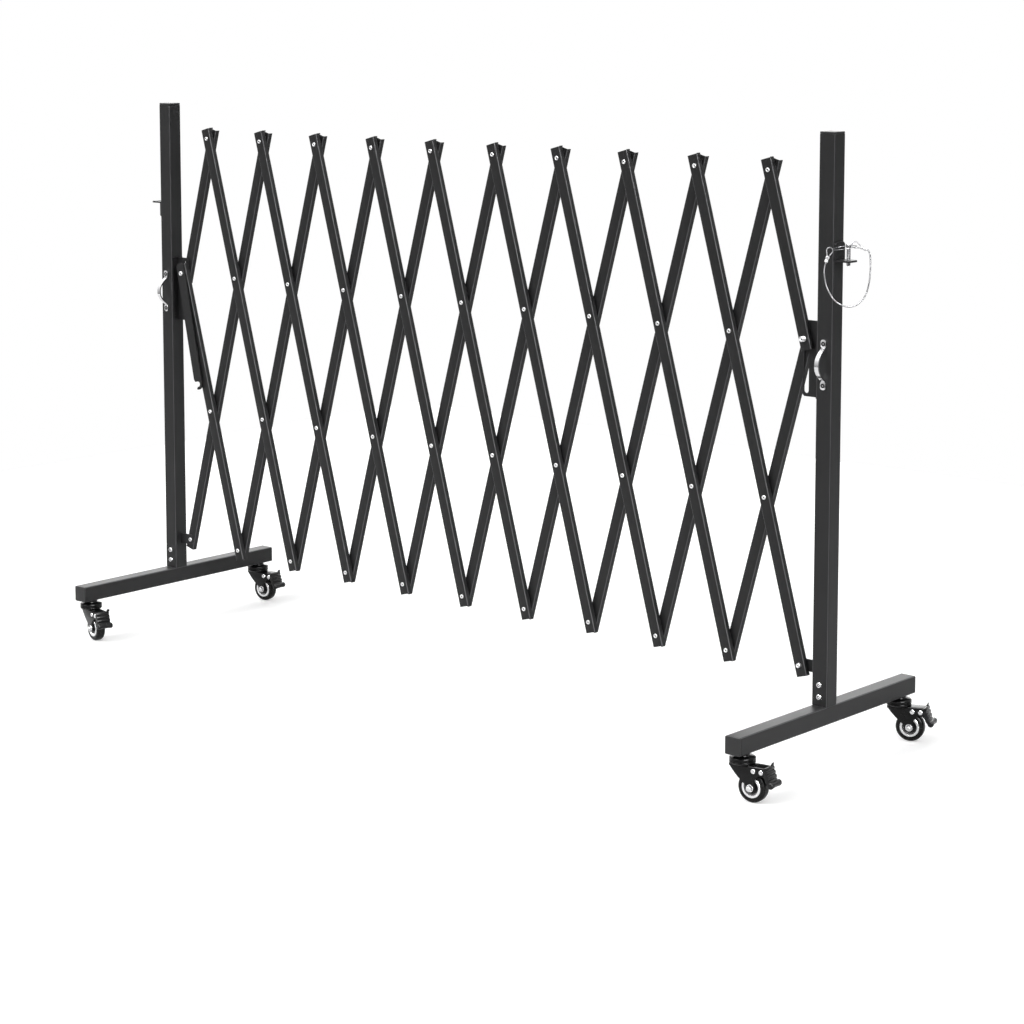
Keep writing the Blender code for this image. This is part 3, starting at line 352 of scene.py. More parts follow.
# Lanyard ends: each eye is the rope itself, bent round and pressed into an aluminium ferrule that is
# nipped in the middle. Both eyes hang on the split ring.
EYE_RADIUS = 0.0064
EYE_WIRE = 0.001
EYE_SPREAD = 0.0012
EYE_LENGTH = 0.0185
FERRULE = 0.0038
FERRULE_LENGTH = 0.0125
FERRULE_WAIST = 0.0032
FERRULE_LIP = 0.0008
EYE_OPENING = 35
EYE_STEPS = 20
FINE_SIDES = 32
ALUMINIUM = (0.80, 0.80, 0.81, 1)
SAME_PLACE = 0.000001
SHARP_ANGLE = 35
GRAIN_DEPTH = 0.0002


def arc(centre, radius, start, end, steps):
    """Points round a centre from one angle in degrees to another."""
    points = []
    for step in range(steps + 1):
        angle = math.radians(start + (end - start) * step / steps)
        points.append((centre[0] + radius * math.cos(angle), centre[1] + radius * math.sin(angle)))
    return points


def spun(profile, sides=FINE_SIDES):
    """A profile of radii and heights, spun about Z."""
    shape = bmesh.new()
    corners = [shape.verts.new((radius, 0, height)) for radius, height in profile]
    edges = [shape.edges.new(pair) for pair in zip(corners, corners[1:])]
    bmesh.ops.spin(shape, geom=corners + edges, cent=(0, 0, 0), axis=(0, 0, 1), angle=2 * math.pi,
                   steps=sides, use_merge=True, use_duplicate=False)
    bmesh.ops.remove_doubles(shape, verts=shape.verts, dist=SAME_PLACE)
    bmesh.ops.recalc_face_normals(shape, faces=shape.faces)
    if shape.calc_volume(signed=True) < 0:
        bmesh.ops.reverse_faces(shape, faces=shape.faces)
    return shape


def gathered(parts):
    """Several shapes, each with its place, in one."""
    whole = bmesh.new()
    for shape, place in parts:
        mesh = bpy.data.meshes.new("part")
        shape.to_mesh(mesh)
        shape.free()
        mesh.transform(place)
        whole.from_mesh(mesh)
        bpy.data.meshes.remove(mesh)
    return whole


def piece(name, shape, finish, body, stands_for=(), sharp=SHARP_ANGLE):
    """A shape in its place, smooth up to the sharp angle, that rides on a body."""
    mesh = bpy.data.meshes.new(name)
    shape.to_mesh(mesh)
    mesh.materials.append(finish)
    mesh.shade_smooth()
    mesh.set_sharp_from_angle(angle=math.radians(sharp))
    item = bpy.data.objects.new(name, mesh)
    scene.collection.objects.link(item)
    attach(item, body)
    if stands_for:
        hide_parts(*stands_for)
    return item


def toned(colour, share):
    """A colour made darker or paler by a share."""
    return [part * share for part in colour[:3]] + [1]


def bright_metal(name, colour, roughness, metallic=1.0):
    """Plated metal: an even colour with faint clouding, and fine rubbing marks in the gloss."""
    finish = Finish(name)
    cloud = finish.noise(finish.place(), scale=60.0, detail=3.0)
    rub = finish.noise(finish.place((1, 1, 0.2)), scale=900.0)
    tone = finish.mix(cloud, colour, toned(colour, 0.82))
    return finish.shade(Base_Color=tone, Roughness=cloud * 0.1 + rub * 0.08 + (roughness - 0.09),
                        Metallic=metallic, Normal=finish.bump(rub, strength=0.12, distance=GRAIN_DEPTH))


pressed_aluminium = bright_metal("pressed_aluminium", ALUMINIUM, roughness=0.34, metallic=0.9)
ferrule_half = [
    (FERRULE_WAIST, FERRULE_LENGTH / 8),
    (FERRULE, FERRULE_LENGTH / 5),
    (FERRULE, FERRULE_LENGTH / 2 - FERRULE_LIP),
    (FERRULE - FERRULE_LIP, FERRULE_LENGTH / 2),
    (0, FERRULE_LENGTH / 2),
]
ferrule_profile = [(radius, -EYE_LENGTH - height) for radius, height in ferrule_half[::-1]]
ferrule_profile += [(radius, -EYE_LENGTH + height) for radius, height in ferrule_half]
lanyard_pieces = []
for end, eye, turn in (("front", FRONT_EYE, FRONT_EYE_TURN), ("pin", PIN_EYE, PIN_EYE_TURN)):
    place = HANGER @ Matrix.Translation((eye[0], 0, eye[1])) @ Matrix.Rotation(turn, 4, "Y")
    ferrule = piece(f"ferrule_{end}", gathered([(spun(ferrule_profile), place)]), pressed_aluminium,
                    "lock_pin", [f"lanyard_end_{end}"])
    loop = [(EYE_SPREAD, -EYE_LENGTH + FERRULE_LENGTH / 2 - FERRULE_LIP)]
    loop += arc((0, 0), EYE_RADIUS, -EYE_OPENING, 180 + EYE_OPENING, EYE_STEPS)
    loop += [(-loop[0][0], loop[0][1])]
    turned_loop = [Vector(eye) + Matrix.Rotation(-turn, 2) @ Vector(point) for point in loop]
    bow = wire_curve(f"rope_eye_{end}", hung(turned_loop), EYE_WIRE)
    bow.data.materials.append(rope_finish)
    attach(bow, "lock_pin")
    lanyard_pieces += [ferrule, bow]


# Lock pin and split ring: a plated steel pin that drops through the link plate, with a ring of two turns of
# spring wire through its head.
PIN = 0.004
PIN_BELOW = 0.012
PIN_ABOVE = 0.026
PIN_HEAD = 0.0055
PIN_HEAD_HEIGHT = 0.007
PIN_TIP = 0.0015
PIN_RIBS = 7
RIB_DEPTH = 0.0003
RING_WIRE = 0.00045
RING_STEPS = 64
PIN_STEEL = (0.50, 0.50, 0.51, 1)
SPRING_STEEL = (0.26, 0.26, 0.27, 1)

pin_plate = bright_metal("plated_pin", PIN_STEEL, roughness=0.32)
pin_profile = [(0, -PIN_BELOW), (PIN - PIN_TIP, -PIN_BELOW), (PIN, -PIN_BELOW + PIN_TIP), (PIN, 0)]
for rib in range(PIN_RIBS):
    height = PIN_ABOVE * (rib + 1) / (PIN_RIBS + 1)
    pin_profile += [(PIN, height - RIB_DEPTH), (PIN - RIB_DEPTH, height), (PIN, height + RIB_DEPTH)]
pin_profile += [(PIN, PIN_ABOVE), (PIN_HEAD - RIB_DEPTH, PIN_ABOVE), (PIN_HEAD, PIN_ABOVE + RIB_DEPTH)]
pin_profile += [(PIN_HEAD, PIN_ABOVE + PIN_HEAD_HEIGHT - PIN_TIP)]
pin_profile += [(PIN_HEAD - PIN_TIP, PIN_ABOVE + PIN_HEAD_HEIGHT), (0, PIN_ABOVE + PIN_HEAD_HEIGHT)]
pin_place = Matrix.Translation((RIGHT_POST + LINK_HOLE, 0, LINK_TOP))
link_pin = gathered([(spun(pin_profile), pin_place)])
piece("link_pin", link_pin, pin_plate, "lock_pin", ["lock_pin"])

ring_turn = HANGER @ Matrix.Rotation(-RING_TILT, 4, "Y")
ring_places = []
for step, (x, y) in enumerate(arc((0, 0), RING_RADIUS, 0, 720, 2 * RING_STEPS)):
    rise = RING_WIRE * (step / RING_STEPS - 1)
    ring_places.append(ring_turn @ Vector((x, y, rise)))
spring_ring = wire_curve("spring_ring", ring_places, RING_WIRE, 2)
spring_ring.data.materials.append(bright_metal("spring_steel", SPRING_STEEL, roughness=0.22))
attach(spring_ring, "lock_pin")
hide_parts("split_ring")


# Posts and feet: square steel tube, powder coated a satin black that has a fine grain, with a painted
# highlight along the corners: a paler base colour where the rounded edges would catch the light. The
# imported tubes keep their shape.
TUBE_BLACK = (0.010, 0.010, 0.0104, 1)
COAT_GLOSS = 0.28
RUBBED_COAT = (0.11, 0.11, 0.115, 1)
# Painted highlight: the paler colour laid into the coat along tube corners and bar bends, and how much of it
# is mixed in.
CORNER_HIGHLIGHT = (0.10, 0.10, 0.105, 1)
HIGHLIGHT_SHARE = 0.7
CORNER_START = POST_HALF - 0.0022
CORNER_END = POST_HALF - 0.0008
FOOT_BELOW = 0.098
FOOT_MIDDLE = FOOT_BELOW + POST_HALF
CELLS = 10
CELL_WIDTH = 0.190
PIVOT_OFFSET = 0.055
LEFT_POST = RIGHT_POST - CELLS * CELL_WIDTH - 2 * PIVOT_OFFSET
POSTS = {"left": LEFT_POST, "right": RIGHT_POST}


def powder_coat(name, colour, roughness, grain=0.2, highlight_mask=None):
    """A fine pebbled coat, a little uneven in tone, with a few pale rubs, and a painted highlight where a
    mask is given.
    """
    finish = Finish(name)
    where = finish.place()
    cloud = finish.noise(where, scale=9.0, detail=4.0, roughness=0.6)
    pebble = finish.noise(where, scale=1400.0, detail=1.0)
    streaks = finish.noise(finish.place((1, 1, 0.25)), scale=38.0, detail=5.0, roughness=0.7)
    rubs = finish.ramp(streaks, low=0.72, high=0.82)
    tone = finish.mix(cloud, toned(colour, 0.85), toned(colour, 1.15))
    # Painted highlight: within the mask the base colour turns paler, for light caught along corners and
    # bends.
    if highlight_mask:
        tone = finish.mix(highlight_mask(finish) * HIGHLIGHT_SHARE, tone, CORNER_HIGHLIGHT)
    tone = finish.mix(rubs * 0.35, tone, RUBBED_COAT)
    return finish.shade(Base_Color=tone, Roughness=cloud * 0.14 + rubs * 0.08 + (roughness - 0.07),
                        Specular_IOR_Level=COAT_GLOSS,
                        Normal=finish.bump(pebble, strength=grain, distance=GRAIN_DEPTH))


def dress(names, finish):
    """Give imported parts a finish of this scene."""
    for name in names:
        mesh = nodes[name].data
        mesh.materials.clear()
        mesh.materials.append(finish)


def tube_corners(across, middle):
    """A mask along the four corners of a square tube, where the coat has a painted highlight, from its place
    on the two axes across it.
    """
    def mask(finish):
        parts = finish.node("SeparateXYZ", Vector=finish.place()).outputs
        marks = []
        for axis, centre in zip(across, middle):
            reach = Wire(finish, parts[axis]) - centre
            marks.append(finish.ramp(reach.sum("ABSOLUTE", reach), CORNER_START, CORNER_END))
        return marks[0] * marks[1]
    return mask


for side, centre in POSTS.items():
    for part, corners in (("post", tube_corners("XY", (centre, 0))),
                          ("foot", tube_corners("XZ", (centre, FOOT_MIDDLE)))):
        coat = powder_coat(f"{side}_{part}_coat", TUBE_BLACK, roughness=0.46, highlight_mask=corners)
        dress([f"{side}_{part}"], coat)


# Tube caps: moulded black plastic plugs pushed into the tube ends, duller than the coat and with a faint
# orange peel. Each has an eased lip that sits a hair inside the tube's outline, and a flat face.
CAP_BLACK = (0.018, 0.018, 0.0185, 1)
CAP_LIPS = {"post": 0.005, "foot": 0.004}
CAP_HALF = POST_HALF - 0.0002
CAP_ROUND = 0.003
CAP_EDGE = 0.0012
POST_TOP = 1.326
FOOT_REACH = 0.320
SEAM = 0.0003


def moulded(name, colour, roughness):
    """Moulded plastic: even colour, faint flow clouds and a soft peel."""
    finish = Finish(name)
    cloud = finish.noise(finish.place(), scale=35.0, detail=3.0)
    peel = finish.noise(finish.place(), scale=700.0)
    tone = finish.mix(cloud, colour, toned(colour, 1.3))
    return finish.shade(Base_Color=tone, Roughness=cloud * 0.1 + peel * 0.06 + (roughness - 0.08),
                        Specular_IOR_Level=COAT_GLOSS,
                        Normal=finish.bump(peel, strength=0.15, distance=GRAIN_DEPTH))


def uprights(shape, least):
    """The edges that rise by more than a least height."""
    return [edge for edge in shape.edges if abs((edge.verts[0].co - edge.verts[1].co).z) > least]


def ease(shape, edges, reach, segments):
    """Round some edges off."""
    bmesh.ops.bevel(shape, geom=edges, offset=reach, segments=segments, profile=0.5, affect="EDGES",
                    material=-1)


def tube_cap(lip):
    """A cap on the tube's end, which is at zero: a lip with rounded corners and eased edges."""
    shape = bmesh.new()
    bmesh.ops.create_cube(shape, size=1)
    bmesh.ops.scale(shape, verts=shape.verts, vec=(2 * CAP_HALF, 2 * CAP_HALF, lip - SEAM))
    bmesh.ops.translate(shape, verts=shape.verts, vec=(0, 0, (lip + SEAM) / 2))
    ease(shape, uprights(shape, lip / 2), CAP_ROUND, segments=5)
    seat = min(shape.faces, key=lambda side: side.calc_center_median().z)
    ease(shape, seat.edges[:], CAP_EDGE / 2, segments=2)
    face = max(shape.faces, key=lambda side: side.calc_center_median().z)
    ease(shape, face.edges[:], CAP_EDGE, segments=3)
    bmesh.ops.recalc_face_normals(shape, faces=shape.faces)
    return shape


cap_plastic = moulded("cap_plastic", CAP_BLACK, roughness=0.42)
TO_FRONT = Matrix.Rotation(math.pi / 2, 4, "X")
for side, centre in POSTS.items():
    top = Matrix.Translation((centre, 0, POST_TOP - CAP_LIPS["post"]))
    piece(f"{side}_post_plug", gathered([(tube_cap(CAP_LIPS["post"]), top)]), cap_plastic, f"{side}_post",
          [f"{side}_post_cap"])
    front = Matrix.Translation((centre, CAP_LIPS["foot"] - FOOT_REACH, FOOT_MIDDLE)) @ TO_FRONT
    rear = Matrix.Translation((centre, FOOT_REACH - CAP_LIPS["foot"], FOOT_MIDDLE)) @ TO_FRONT.inverted()
    for end, place in (("front", front), ("rear", rear)):
        piece(f"{side}_foot_plug_{end}", gathered([(tube_cap(CAP_LIPS["foot"]), place)]), cap_plastic,
              f"{side}_post", [f"{side}_foot_cap_{end}"])


# Lattice bars: 1.5 mm steel strip folded into channels 26 mm wide, in a deeper black than the posts, with a
# painted highlight: a paler colour along the outer bends, where the rounded edges would catch the light. The
# front ones show their webs, and the rear ones lie behind them with their flanges to the back. Each replaces
# its packed bar.
BAR_BLACK = (0.008, 0.008, 0.0083, 1)
PIVOT_PITCH = 0.356
LOWER_PIVOT = 0.2125
BAR_WIDTH = 0.026
BAR_DEPTH = 0.012
BAR_WALL = 0.0015
BAR_BEND = 0.0019
BAR_OVERHANG = 0.024
BAR_GAP = 0.0013
BEND_SHARE = 0.75
REST_ANGLE = math.asin(CELL_WIDTH / 2 / PIVOT_PITCH)
FRONT_WEB = BAR_GAP + BAR_DEPTH


def pivot_place(cell, level):
    """Where two bars cross: cells count across, with halves between, and levels count pitches up."""
    rise = level * PIVOT_PITCH * math.cos(REST_ANGLE)
    return Vector((LEFT_POST + PIVOT_OFFSET + cell * CELL_WIDTH, 0, LOWER_PIVOT + rise))


def prism(outline, start, end):
    """An outline raised along Z from start to end."""
    shape = bmesh.new()
    face = shape.faces.new([shape.verts.new((x, y, start)) for x, y in outline])
    lifted = bmesh.ops.extrude_face_region(shape, geom=[face])["geom"]
    top = [item for item in lifted if isinstance(item, bmesh.types.BMVert)]
    bmesh.ops.translate(shape, verts=top, vec=(0, 0, end - start))
    return shape


def channel(pitches):
    """A channel hanging from its top pivot, its web in the plane of X and Z and its flanges towards +Y."""
    half = BAR_WIDTH / 2
    inner = half - BAR_WALL
    section = [(-half, BAR_DEPTH), (-half, 0), (half, 0), (half, BAR_DEPTH), (inner, BAR_DEPTH)]
    section += [(inner, BAR_WALL), (-inner, BAR_WALL), (-inner, BAR_DEPTH)]
    shape = prism(section, -pitches * PIVOT_PITCH - BAR_OVERHANG, BAR_OVERHANG)
    bends = [edge for edge in uprights(shape, BAR_OVERHANG) if edge.verts[0].co.y < BAR_WALL / 2]
    ease(shape, bends, BAR_BEND, segments=4)
    creases = [edge for edge in uprights(shape, BAR_OVERHANG)
               if abs(edge.verts[0].co.y - BAR_WALL) < BAR_WALL / 2
               and abs(abs(edge.verts[0].co.x) - inner) < BAR_WALL / 2]
    ease(shape, creases, BAR_WALL / 3, segments=2)
    bmesh.ops.recalc_face_normals(shape, faces=shape.faces)
    # Mark the outer bends, where the coat paints a highlight.
    bend = shape.verts.layers.float.new("bend")
    for corner in shape.verts:
        reach = max(half - abs(corner.co.x), corner.co.y)
        corner[bend] = float(reach < BAR_BEND * BEND_SHARE)
    return shape


def outer_bends(finish):
    """A mask along the two bends of a bar, where its coat has a painted highlight."""
    return Wire(finish, finish.node("Attribute", {"attribute_name": "bend"}).outputs["Fac"])


bar_coat = powder_coat("bar_coat", BAR_BLACK, roughness=0.44, highlight_mask=outer_bends)
front_bars = {0: (0, 2, 2), CELLS: (CELLS - 0.5, 3, 1)}
front_bars.update({number: (number - 0.5, 3, 3) for number in range(1, CELLS)})
back_bars = {1: (0.5, 3, 1), CELLS + 1: (CELLS, 2, 2)}
back_bars.update({number: (number - 0.5, 3, 3) for number in range(2, CELLS + 1)})
bar_places = {}
for kind, bars, web, lean in (("front", front_bars, -FRONT_WEB, -REST_ANGLE),
                              ("back", back_bars, BAR_GAP, REST_ANGLE)):
    for number, (cell, level, pitches) in bars.items():
        node = f"{kind}_bar_{number:02d}"
        place = Matrix.Translation(pivot_place(cell, level)) @ Matrix.Rotation(lean, 4, "Y")
        bar_places[node] = place
        shape = gathered([(channel(pitches), place @ Matrix.Translation((0, web, 0)))])
        piece(f"{kind}_channel_{number:02d}", shape, bar_coat, node, [node])


# Lattice rivets: bright plated tubular rivets, one through each crossing, with a rolled rim round a bore in
# front and a flared tail behind the rear bar. A dark disc at the bottom of each bore is painted shade. They
# ride on the front bars.
RIVET_HEAD = 0.0048
RIVET_HEAD_HEIGHT = 0.002
RIVET_BORE = 0.0019
RIVET_BORE_DEPTH = 0.0016
# Half the thickness of the painted-shade disc in each rivet's bore.
BORE_SHADE_HALF = 0.0004
RIVET_STEEL = (0.86, 0.86, 0.87, 1)
RIVET_SIDES = 24
RIVET_SHARP = 50
# The colour of the painted shade in the rivets' bores.
BORE_SHADE_COLOUR = (0.03, 0.03, 0.03, 1)
BORE_SIDES = 16
HEAD_ROUND = 0.45
RIVET_SHANK = 0.003
RIVET_TAIL = 0.0044
RIVET_TAIL_HEIGHT = 0.0014
RIVET_SINK = 0.0005
BACK_SEAT = BAR_GAP + BAR_WALL
SLIDER_SHANK = 0.005
SLIDER_NECK = 0.004
SLIDER_COLLAR = 0.006
SLIDER_COLLAR_HEIGHT = 0.003
SLIDER_HEAD = 0.0058
SLIDER_HEAD_HEIGHT = 0.0025
HOOK_THICKNESS = 0.003
PART_GAP = 0.0003
SLIDER_SEAT = FRONT_WEB + SLIDER_COLLAR_HEIGHT + HOOK_THICKNESS + 2 * PART_GAP
END_PIN_HEAD_HEIGHT = 0.006


def head_profile(radius, seat, height, bore, depth):
    """From the middle of a head's dimple out over its rolled rim and down to its seat."""
    top = seat + height
    round_off = height * HEAD_ROUND
    profile = [(0, top - depth), (bore, top - depth), (bore, top - round_off / 2)]
    profile += arc((bore + round_off, top - round_off), round_off, 180, 90, 4)
    profile += arc((radius - round_off, top - round_off), round_off, 90, 0, 4)
    profile += [(radius, seat)]
    return profile


def rivet(head_height=RIVET_HEAD_HEIGHT, back=BACK_SEAT):
    """A rivet through both bars, from its head in front to its flared tail behind."""
    profile = head_profile(RIVET_HEAD, FRONT_WEB, head_height, RIVET_BORE, RIVET_BORE_DEPTH)
    profile += [(RIVET_HEAD, FRONT_WEB - RIVET_SINK), (RIVET_SHANK, FRONT_WEB - RIVET_SINK)]
    profile += [(RIVET_SHANK, -back), (RIVET_TAIL, -back)]
    profile += [(radius, -place) for radius, place in
                head_profile(RIVET_TAIL, back, RIVET_TAIL_HEIGHT, RIVET_BORE, RIVET_BORE_DEPTH)[::-1]]
    return spun(profile, RIVET_SIDES)


def slider():
    """The longer pin at a post's slot: collar on the bar, neck for the hook, head and a tail."""
    collar = FRONT_WEB + SLIDER_COLLAR_HEIGHT
    back = BACK_SEAT + PART_GAP
    profile = head_profile(SLIDER_HEAD, SLIDER_SEAT, SLIDER_HEAD_HEIGHT, RIVET_BORE, RIVET_BORE_DEPTH)
    profile += [(SLIDER_NECK, SLIDER_SEAT), (SLIDER_NECK, collar), (SLIDER_COLLAR - RIVET_SINK, collar)]
    profile += [(SLIDER_COLLAR, collar - RIVET_SINK), (SLIDER_COLLAR, FRONT_WEB - RIVET_SINK)]
    profile += [(SLIDER_SHANK, FRONT_WEB - RIVET_SINK), (SLIDER_SHANK, -back), (SLIDER_HEAD, -back)]
    profile += [(SLIDER_HEAD, -back - RIVET_TAIL_HEIGHT), (0, -back - RIVET_TAIL_HEIGHT)]
    return spun(profile)


def bore_shade(seat, height):
    """Painted shade at the bottom of a head's bore, as a flat dark disc."""
    low = seat + height - RIVET_BORE_DEPTH
    disc = [(0, low - BORE_SHADE_HALF), (RIVET_BORE, low - BORE_SHADE_HALF), (RIVET_BORE, low + BORE_SHADE_HALF)]
    return spun(disc + [(0, low + BORE_SHADE_HALF)], BORE_SIDES)


rivet_plate = bright_metal("rivet_plate", RIVET_STEEL, roughness=0.30, metallic=0.8)
# Painted shade: a dark disc at the bottom of each head's bore stands in for the shade in the hollow.
painted_bore_shade = bright_metal("painted_bore_shade", BORE_SHADE_COLOUR, roughness=0.55, metallic=0.3)
for number, (_, _, pitches) in front_bars.items():
    node = f"front_bar_{number:02d}"
    parts = []
    bores = []
    for step in range(pitches + 1):
        shape, bore = rivet(), bore_shade(FRONT_WEB, RIVET_HEAD_HEIGHT)
        if (number, step) in ((0, 0), (CELLS, 1)):
            shape, bore = slider(), bore_shade(SLIDER_SEAT, SLIDER_HEAD_HEIGHT)
        if (number, step) == (CELLS - 1, pitches):
            shape, bore = rivet(END_PIN_HEAD_HEIGHT, PART_GAP), bore_shade(FRONT_WEB, END_PIN_HEAD_HEIGHT)
        place = bar_places[node] @ Matrix.Translation((0, 0, -step * PIVOT_PITCH)) @ TO_FRONT
        parts.append((shape, place))
        bores.append((bore, place))
    piece(f"rivets_{number:02d}", gathered(parts), rivet_plate, node, sharp=RIVET_SHARP)
    piece(f"rivet_bores_{number:02d}", gathered(bores), painted_bore_shade, node, sharp=RIVET_SHARP)
tab_place = Matrix.Translation(pivot_place(0, 0)) @ TO_FRONT
tab_profile = head_profile(RIVET_HEAD + PART_GAP, BAR_GAP, RIVET_HEAD_HEIGHT, RIVET_BORE, PART_GAP)
tab_profile += [(0, BAR_GAP)]
tab_rivet = gathered([(spun(tab_profile), tab_place)])
piece("left_tab_rivet", tab_rivet, rivet_plate, "left_post")


# Slot brackets, hook arm and link brackets: laser-cut and bent steel plate, painted a slightly deeper black
# than the tubes and a little glossier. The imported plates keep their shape.
PLATE_BLACK = (0.009, 0.009, 0.0095, 1)
plate_paint = powder_coat("plate_paint", PLATE_BLACK, roughness=0.40, grain=0.12)
dress([f"{side}_{kind}_bracket" for side in POSTS for kind in ("slot", "link")] + ["hook_arm"], plate_paint)


# Handles: a bow bent from polished flat bar, screwed to the front of each post through flat feet with
# rounded ends. The screws are blackened.
CHROME = (0.82, 0.82, 0.83, 1)
SCREW_BLACK = (0.006, 0.006, 0.0062, 1)
HANDLE_MIDDLE = 0.85065
HANDLE_HOLES = 0.0863
HANDLE_BOW = 0.027
HANDLE_WIDTH = 0.0095
HANDLE_THICKNESS = 0.0032
HANDLE_FOOT = 0.0066
HANDLE_FOOT_LENGTH = 0.0088
HANDLE_FOOT_ROUND = 0.0052
SCREW_HEAD = 0.0050
SCREW_HEIGHT = 0.0014
SCREW_SOCKET = 0.0018
SCREW_SINK = 0.0006
SOCKET_DEPTH = 0.0008
HANDLE_SEAT = POST_HALF + PART_GAP
HALF_BOW_SHARES = ((-0.5, 0.0), (-0.39, 0.0), (-0.25, 0.60), (-0.10, 0.97))
HANDLE_STEPS = 5
HANDLE_ROUND = 0.0011


def handle_line():
    """The bow's centre line as rise and reach, smooth through its shares and their mirror images."""
    shares = [Vector(pair) for pair in HALF_BOW_SHARES]
    shares += [Vector((-rise, out)) for rise, out in HALF_BOW_SHARES[::-1]]
    reach = HANDLE_BOW - HANDLE_THICKNESS
    return [Vector((share.x * HANDLE_HOLES, max(share.y, 0) * reach))
            for share in smooth_route(shares, HANDLE_STEPS)]


def handle_band():
    """The flat bar of the bow, swept along its line, with its long edges eased."""
    line = handle_line()
    shape = bmesh.new()
    loops = []
    for index, point in enumerate(line):
        ahead = line[min(index + 1, len(line) - 1)] - line[max(index - 1, 0)]
        out = Vector((-ahead.y, ahead.x)).normalized() * HANDLE_THICKNESS
        corners = [(point, -1), (point, 1), (point + out, 1), (point + out, -1)]
        loops.append([shape.verts.new((side * HANDLE_WIDTH / 2, -HANDLE_SEAT - at.y, HANDLE_MIDDLE + at.x))
                      for at, side in corners])
    for near, far in zip(loops, loops[1:]):
        for corner in range(4):
            after = (corner + 1) % 4
            shape.faces.new((near[corner], near[after], far[after], far[corner]))
    shape.faces.new(loops[0][::-1])
    shape.faces.new(loops[-1])
    long_edges = [edge for edge in shape.edges
                  if abs((edge.verts[0].co - edge.verts[1].co).x) < HANDLE_ROUND / 10
                  and len(edge.link_faces) == 2 and edge.calc_face_angle(0) > 1]
    ease(shape, long_edges, HANDLE_ROUND, segments=3)
    bmesh.ops.recalc_face_normals(shape, faces=shape.faces)
    return shape


def raised(outline, start, end, rounding):
    """An outline raised along Z, with the edges round both faces eased."""
    shape = prism(outline, start, end)
    rims = [edge for edge in shape.edges if abs(edge.verts[0].co.z - edge.verts[1].co.z) < rounding / 10]
    ease(shape, rims, rounding, segments=2)
    bmesh.ops.recalc_face_normals(shape, faces=shape.faces)
    return shape


def handle_foot():
    """A flat foot with rounded ends, on which the bow stands."""
    outline = []
    for turn, (across, along) in enumerate(((1, 1), (-1, 1), (-1, -1), (1, -1))):
        x = across * (HANDLE_FOOT - HANDLE_FOOT_ROUND)
        y = along * (HANDLE_FOOT_LENGTH - HANDLE_FOOT_ROUND)
        outline += arc((x, y), HANDLE_FOOT_ROUND, 90 * turn, 90 * turn + 90, 6)
    return raised(outline, 0, HANDLE_THICKNESS + PART_GAP, HANDLE_ROUND / 2)


def socket_head(radius, height, socket):
    """A screw's head with its socket, standing on its seat."""
    return spun(head_profile(radius, 0, height, socket, SOCKET_DEPTH) + [(0, 0)])


chrome = bright_metal("chrome", CHROME, roughness=0.11)
dark_screw = powder_coat("dark_screw", SCREW_BLACK, roughness=0.45, grain=0.1)
for side, centre in POSTS.items():
    parts = [(handle_band(), Matrix.Translation((centre, 0, 0)))]
    screws = []
    for rise in (-HANDLE_HOLES / 2, HANDLE_HOLES / 2):
        foot_place = Matrix.Translation((centre, -HANDLE_SEAT, HANDLE_MIDDLE + rise)) @ TO_FRONT
        parts.append((handle_foot(), foot_place))
        screw_place = foot_place @ Matrix.Translation((0, 0, HANDLE_THICKNESS - SCREW_SINK))
        screws.append((socket_head(SCREW_HEAD, SCREW_HEIGHT, SCREW_SOCKET), screw_place))
    piece(f"{side}_bow_handle", gathered(parts), chrome, f"{side}_post", [f"{side}_handle"])
    piece(f"{side}_handle_screws", gathered(screws), dark_screw, f"{side}_post")


# Post bolts: bright pan heads with a socket, two on the front of each post. They go through the spigot that
# stands on the foot, and hold the post on it.
BOLT_STEEL = (0.80, 0.80, 0.81, 1)
BOLT_HEAD = 0.0058
BOLT_HEIGHT = 0.0033
BOLT_SOCKET = 0.0021
BOLT_RISES = (0.1555, 0.181)
bolt_plate = bright_metal("bolt_plate", BOLT_STEEL, roughness=0.25, metallic=0.9)
for side, centre in POSTS.items():
    heads = []
    for rise in BOLT_RISES:
        place = Matrix.Translation((centre, -POST_HALF, rise)) @ TO_FRONT
        heads.append((socket_head(BOLT_HEAD, BOLT_HEIGHT, BOLT_SOCKET), place))
    piece(f"{side}_post_bolts", gathered(heads), bolt_plate, f"{side}_post")


# Caster races: a pressed steel cap in gloss black that is screwed up into the foot, with the ball race's
# rolled lips round it and the riveted king pin below. It stays with the foot while the fork swivels.
STEM_REACH = 0.285
STEM = 0.005
STEM_RISE = 0.014
RACE = 0.0270
RACE_NECK = 0.015
RACE_FILLET = 0.0035
RACE_TOP = -0.0090
RACE_BOTTOM = -0.0158
RACE_LIP = 0.0014
RACE_GROOVE = 0.0007
GROOVE_TOP = -0.0122
GROOVE_STEP = 0.0006
RACE_SIDES = 48
KING_PIN = 0.0045
KING_HEAD = 0.008
KING_SEAT = -0.0236
KING_FOOT = -0.0261
CASTER_BLACK = (0.0045, 0.0045, 0.0047, 1)
CASTER_DUST = (0.02, 0.02, 0.021, 1)
PAINT_GLOSS = 0.18
CASTER_TURNS = {"front_left": -13.5, "rear_left": 5, "front_right": 6, "rear_right": 19}


